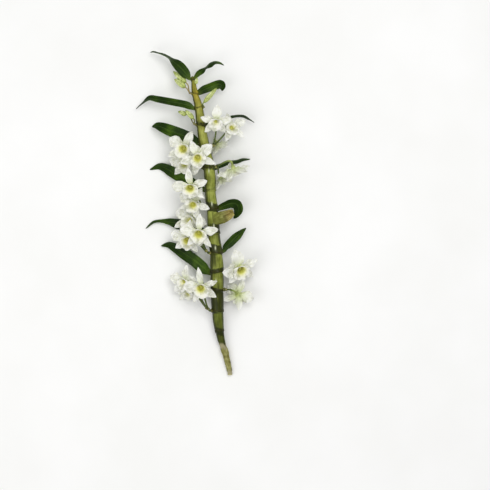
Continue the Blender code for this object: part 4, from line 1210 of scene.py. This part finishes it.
drySheath = {
    # from its seat on the cane out to its torn end
    "rows": [
        (213.0, 220.4, 41.2, 4.6, 0), (216.5, 219.4, 39.6, 8.4, 3), (220.0, 218.0, 36.8, 9.2, 8),
        (223.4, 216.6, 34.4, 9.0, 14), (226.8, 215.0, 32.6, 8.0, 18), (230.0, 213.4, 30.8, 6.6, 22),
        (233.0, 211.8, 28.6, 4.4, 24),
    ],
    "fold": 0.45, "thickness": 0.4, "crumple": 1.6, "steps": 56, "columns": 28,
}


def creaseAt(u, v):
    # the brown line that runs slantwise down its free end
    return hump(0.35 - 0.7 * u, 0.07, v) * ease(0.5, 0.7, u)


def crumpled(u, v, half):
    # flat on the cane, then crumpled and folded
    free = ease(0.15, 0.5, u)
    creased = noise.noise(Vector((u * 5, v * 3.5, 3.1))) + 0.4 * noise.noise(Vector((u * 13, v * 9, 8)))
    fold = 1.8 * hump(0.2 - 0.7 * u, 0.16, v) * ease(0.3, 0.6, u)
    return drySheath["crumple"] * creased * free + fold - drySheath["fold"] * half * v * v * (1 - free)


def makeSheath():
    steps, columns = drySheath["steps"], drySheath["columns"]
    piece = addSheet(steps, columns, bladePlace(drySheath["rows"], drySheath["fold"], crumpled))
    places = [gridPlace(i, steps, columns) for i in range(len(piece.data.vertices))]
    paint(piece, "fresh", lambda i: 1 - ease(0.25, 0.7, places[i][0]))
    paint(piece, "gold", lambda i: 0.85 * ease(0.5, 0.85, places[i][0]))
    paint(piece, "crease", lambda i: 0.8 * creaseAt(*places[i]))
    thicken(piece, drySheath["thickness"])
    settle(piece, "dry_sheath_paper", "dry_sheath", paperFinish)


makeSheath()

footPaper = {
    "top": 349.5, "bottom": 371, "tear": 3.2,  # plan steps, the last for how ragged its ends are
    "gap": 0.45, "floorGap": 0.3, "thickness": 0.25,  # mm
    "turn": 2.75,  # how far it wraps to each side, in radians
    "rows": 30, "columns": 60,
}


def footPlace(u, v):
    # loose round the foot of the cane, u down it and v round it
    around = v * footPaper["turn"]
    torn = noise.noise(Vector((v * 4, 0.3, 0))) + 0.5 * noise.noise(Vector((v * 13, 4, 0)))
    y = footPaper["top"] + footPaper["tear"] * torn + (footPaper["bottom"] - footPaper["top"]) * u
    middle, radius = caneAt(y)
    lift = footPaper["gap"] + 0.5 * (noise.noise(Vector((v * 3, u * 4, 7))) + 0.5) + 0.6 * (1 - u) ** 4
    reach = radius * (1 + caneSwell(y)) + lift
    point = middle + Vector((math.sin(around), 0, math.cos(around))) * reach * mm
    point.z = max(point.z, footPaper["floorGap"] * mm)
    return point


footPiece = addSheet(footPaper["rows"], footPaper["columns"], footPlace)
thicken(footPiece, footPaper["thickness"])
settle(footPiece, "foot_paper", None, paperFinish)
print("sheaths made")

# Floor and light

floor = {"size": 6.0, "light": "#f7f7f6", "dark": "#f3f3f1"}


def matteFloor():
    # painted board: off-white, matt, with a faint unevenness
    material, tree, shader = newFinish("matt painted board", 0.85)
    coords = addNode(tree, "TexCoord")
    uneven = addNode(tree, "TexNoise", {"Vector": coords.outputs["Object"], "Scale": 6.0, "Detail": 3.0})
    tint = addNode(tree, "ValToRGB", {0: uneven.outputs[0]}, [(0.35, floor["dark"]), (0.65, floor["light"])])
    tree.links.new(tint.outputs[0], shader.inputs["Base Color"])
    return material


bpy.ops.mesh.primitive_plane_add(size=floor["size"], location=(0, 0, 0))
floorPiece = bpy.context.active_object
floorPiece.name = "floor"
floorPiece.data.materials.append(matteFloor())

lights = {
    # place in metres, watts, size in metres
    "key": ((0.45, 0.5, 2.1), 21, 1.2),
    "fill": ((-1.0, -0.6, 1.9), 15, 1.6),
}
for lightName, (spot, watts, size) in lights.items():
    bpy.ops.object.light_add(type="AREA", location=spot)
    lamp = bpy.context.active_object
    lamp.name = "light_" + lightName
    lamp.data.energy = watts
    lamp.data.size = size
    lamp.rotation_euler = (-Vector(spot)).to_track_quat("-Z", "Y").to_euler()

room = {"tint": "#fafafa", "strength": 0.5}
sky = bpy.data.worlds.new("room")
bpy.context.scene.world = sky
sky.use_nodes = True
back = sky.node_tree.nodes["Background"]
back.inputs["Color"].default_value = colour(room["tint"])
back.inputs["Strength"].default_value = room["strength"]
bpy.context.scene.view_settings.view_transform = "Standard"  # keeps the finishes' own colours
print("floor and light made")
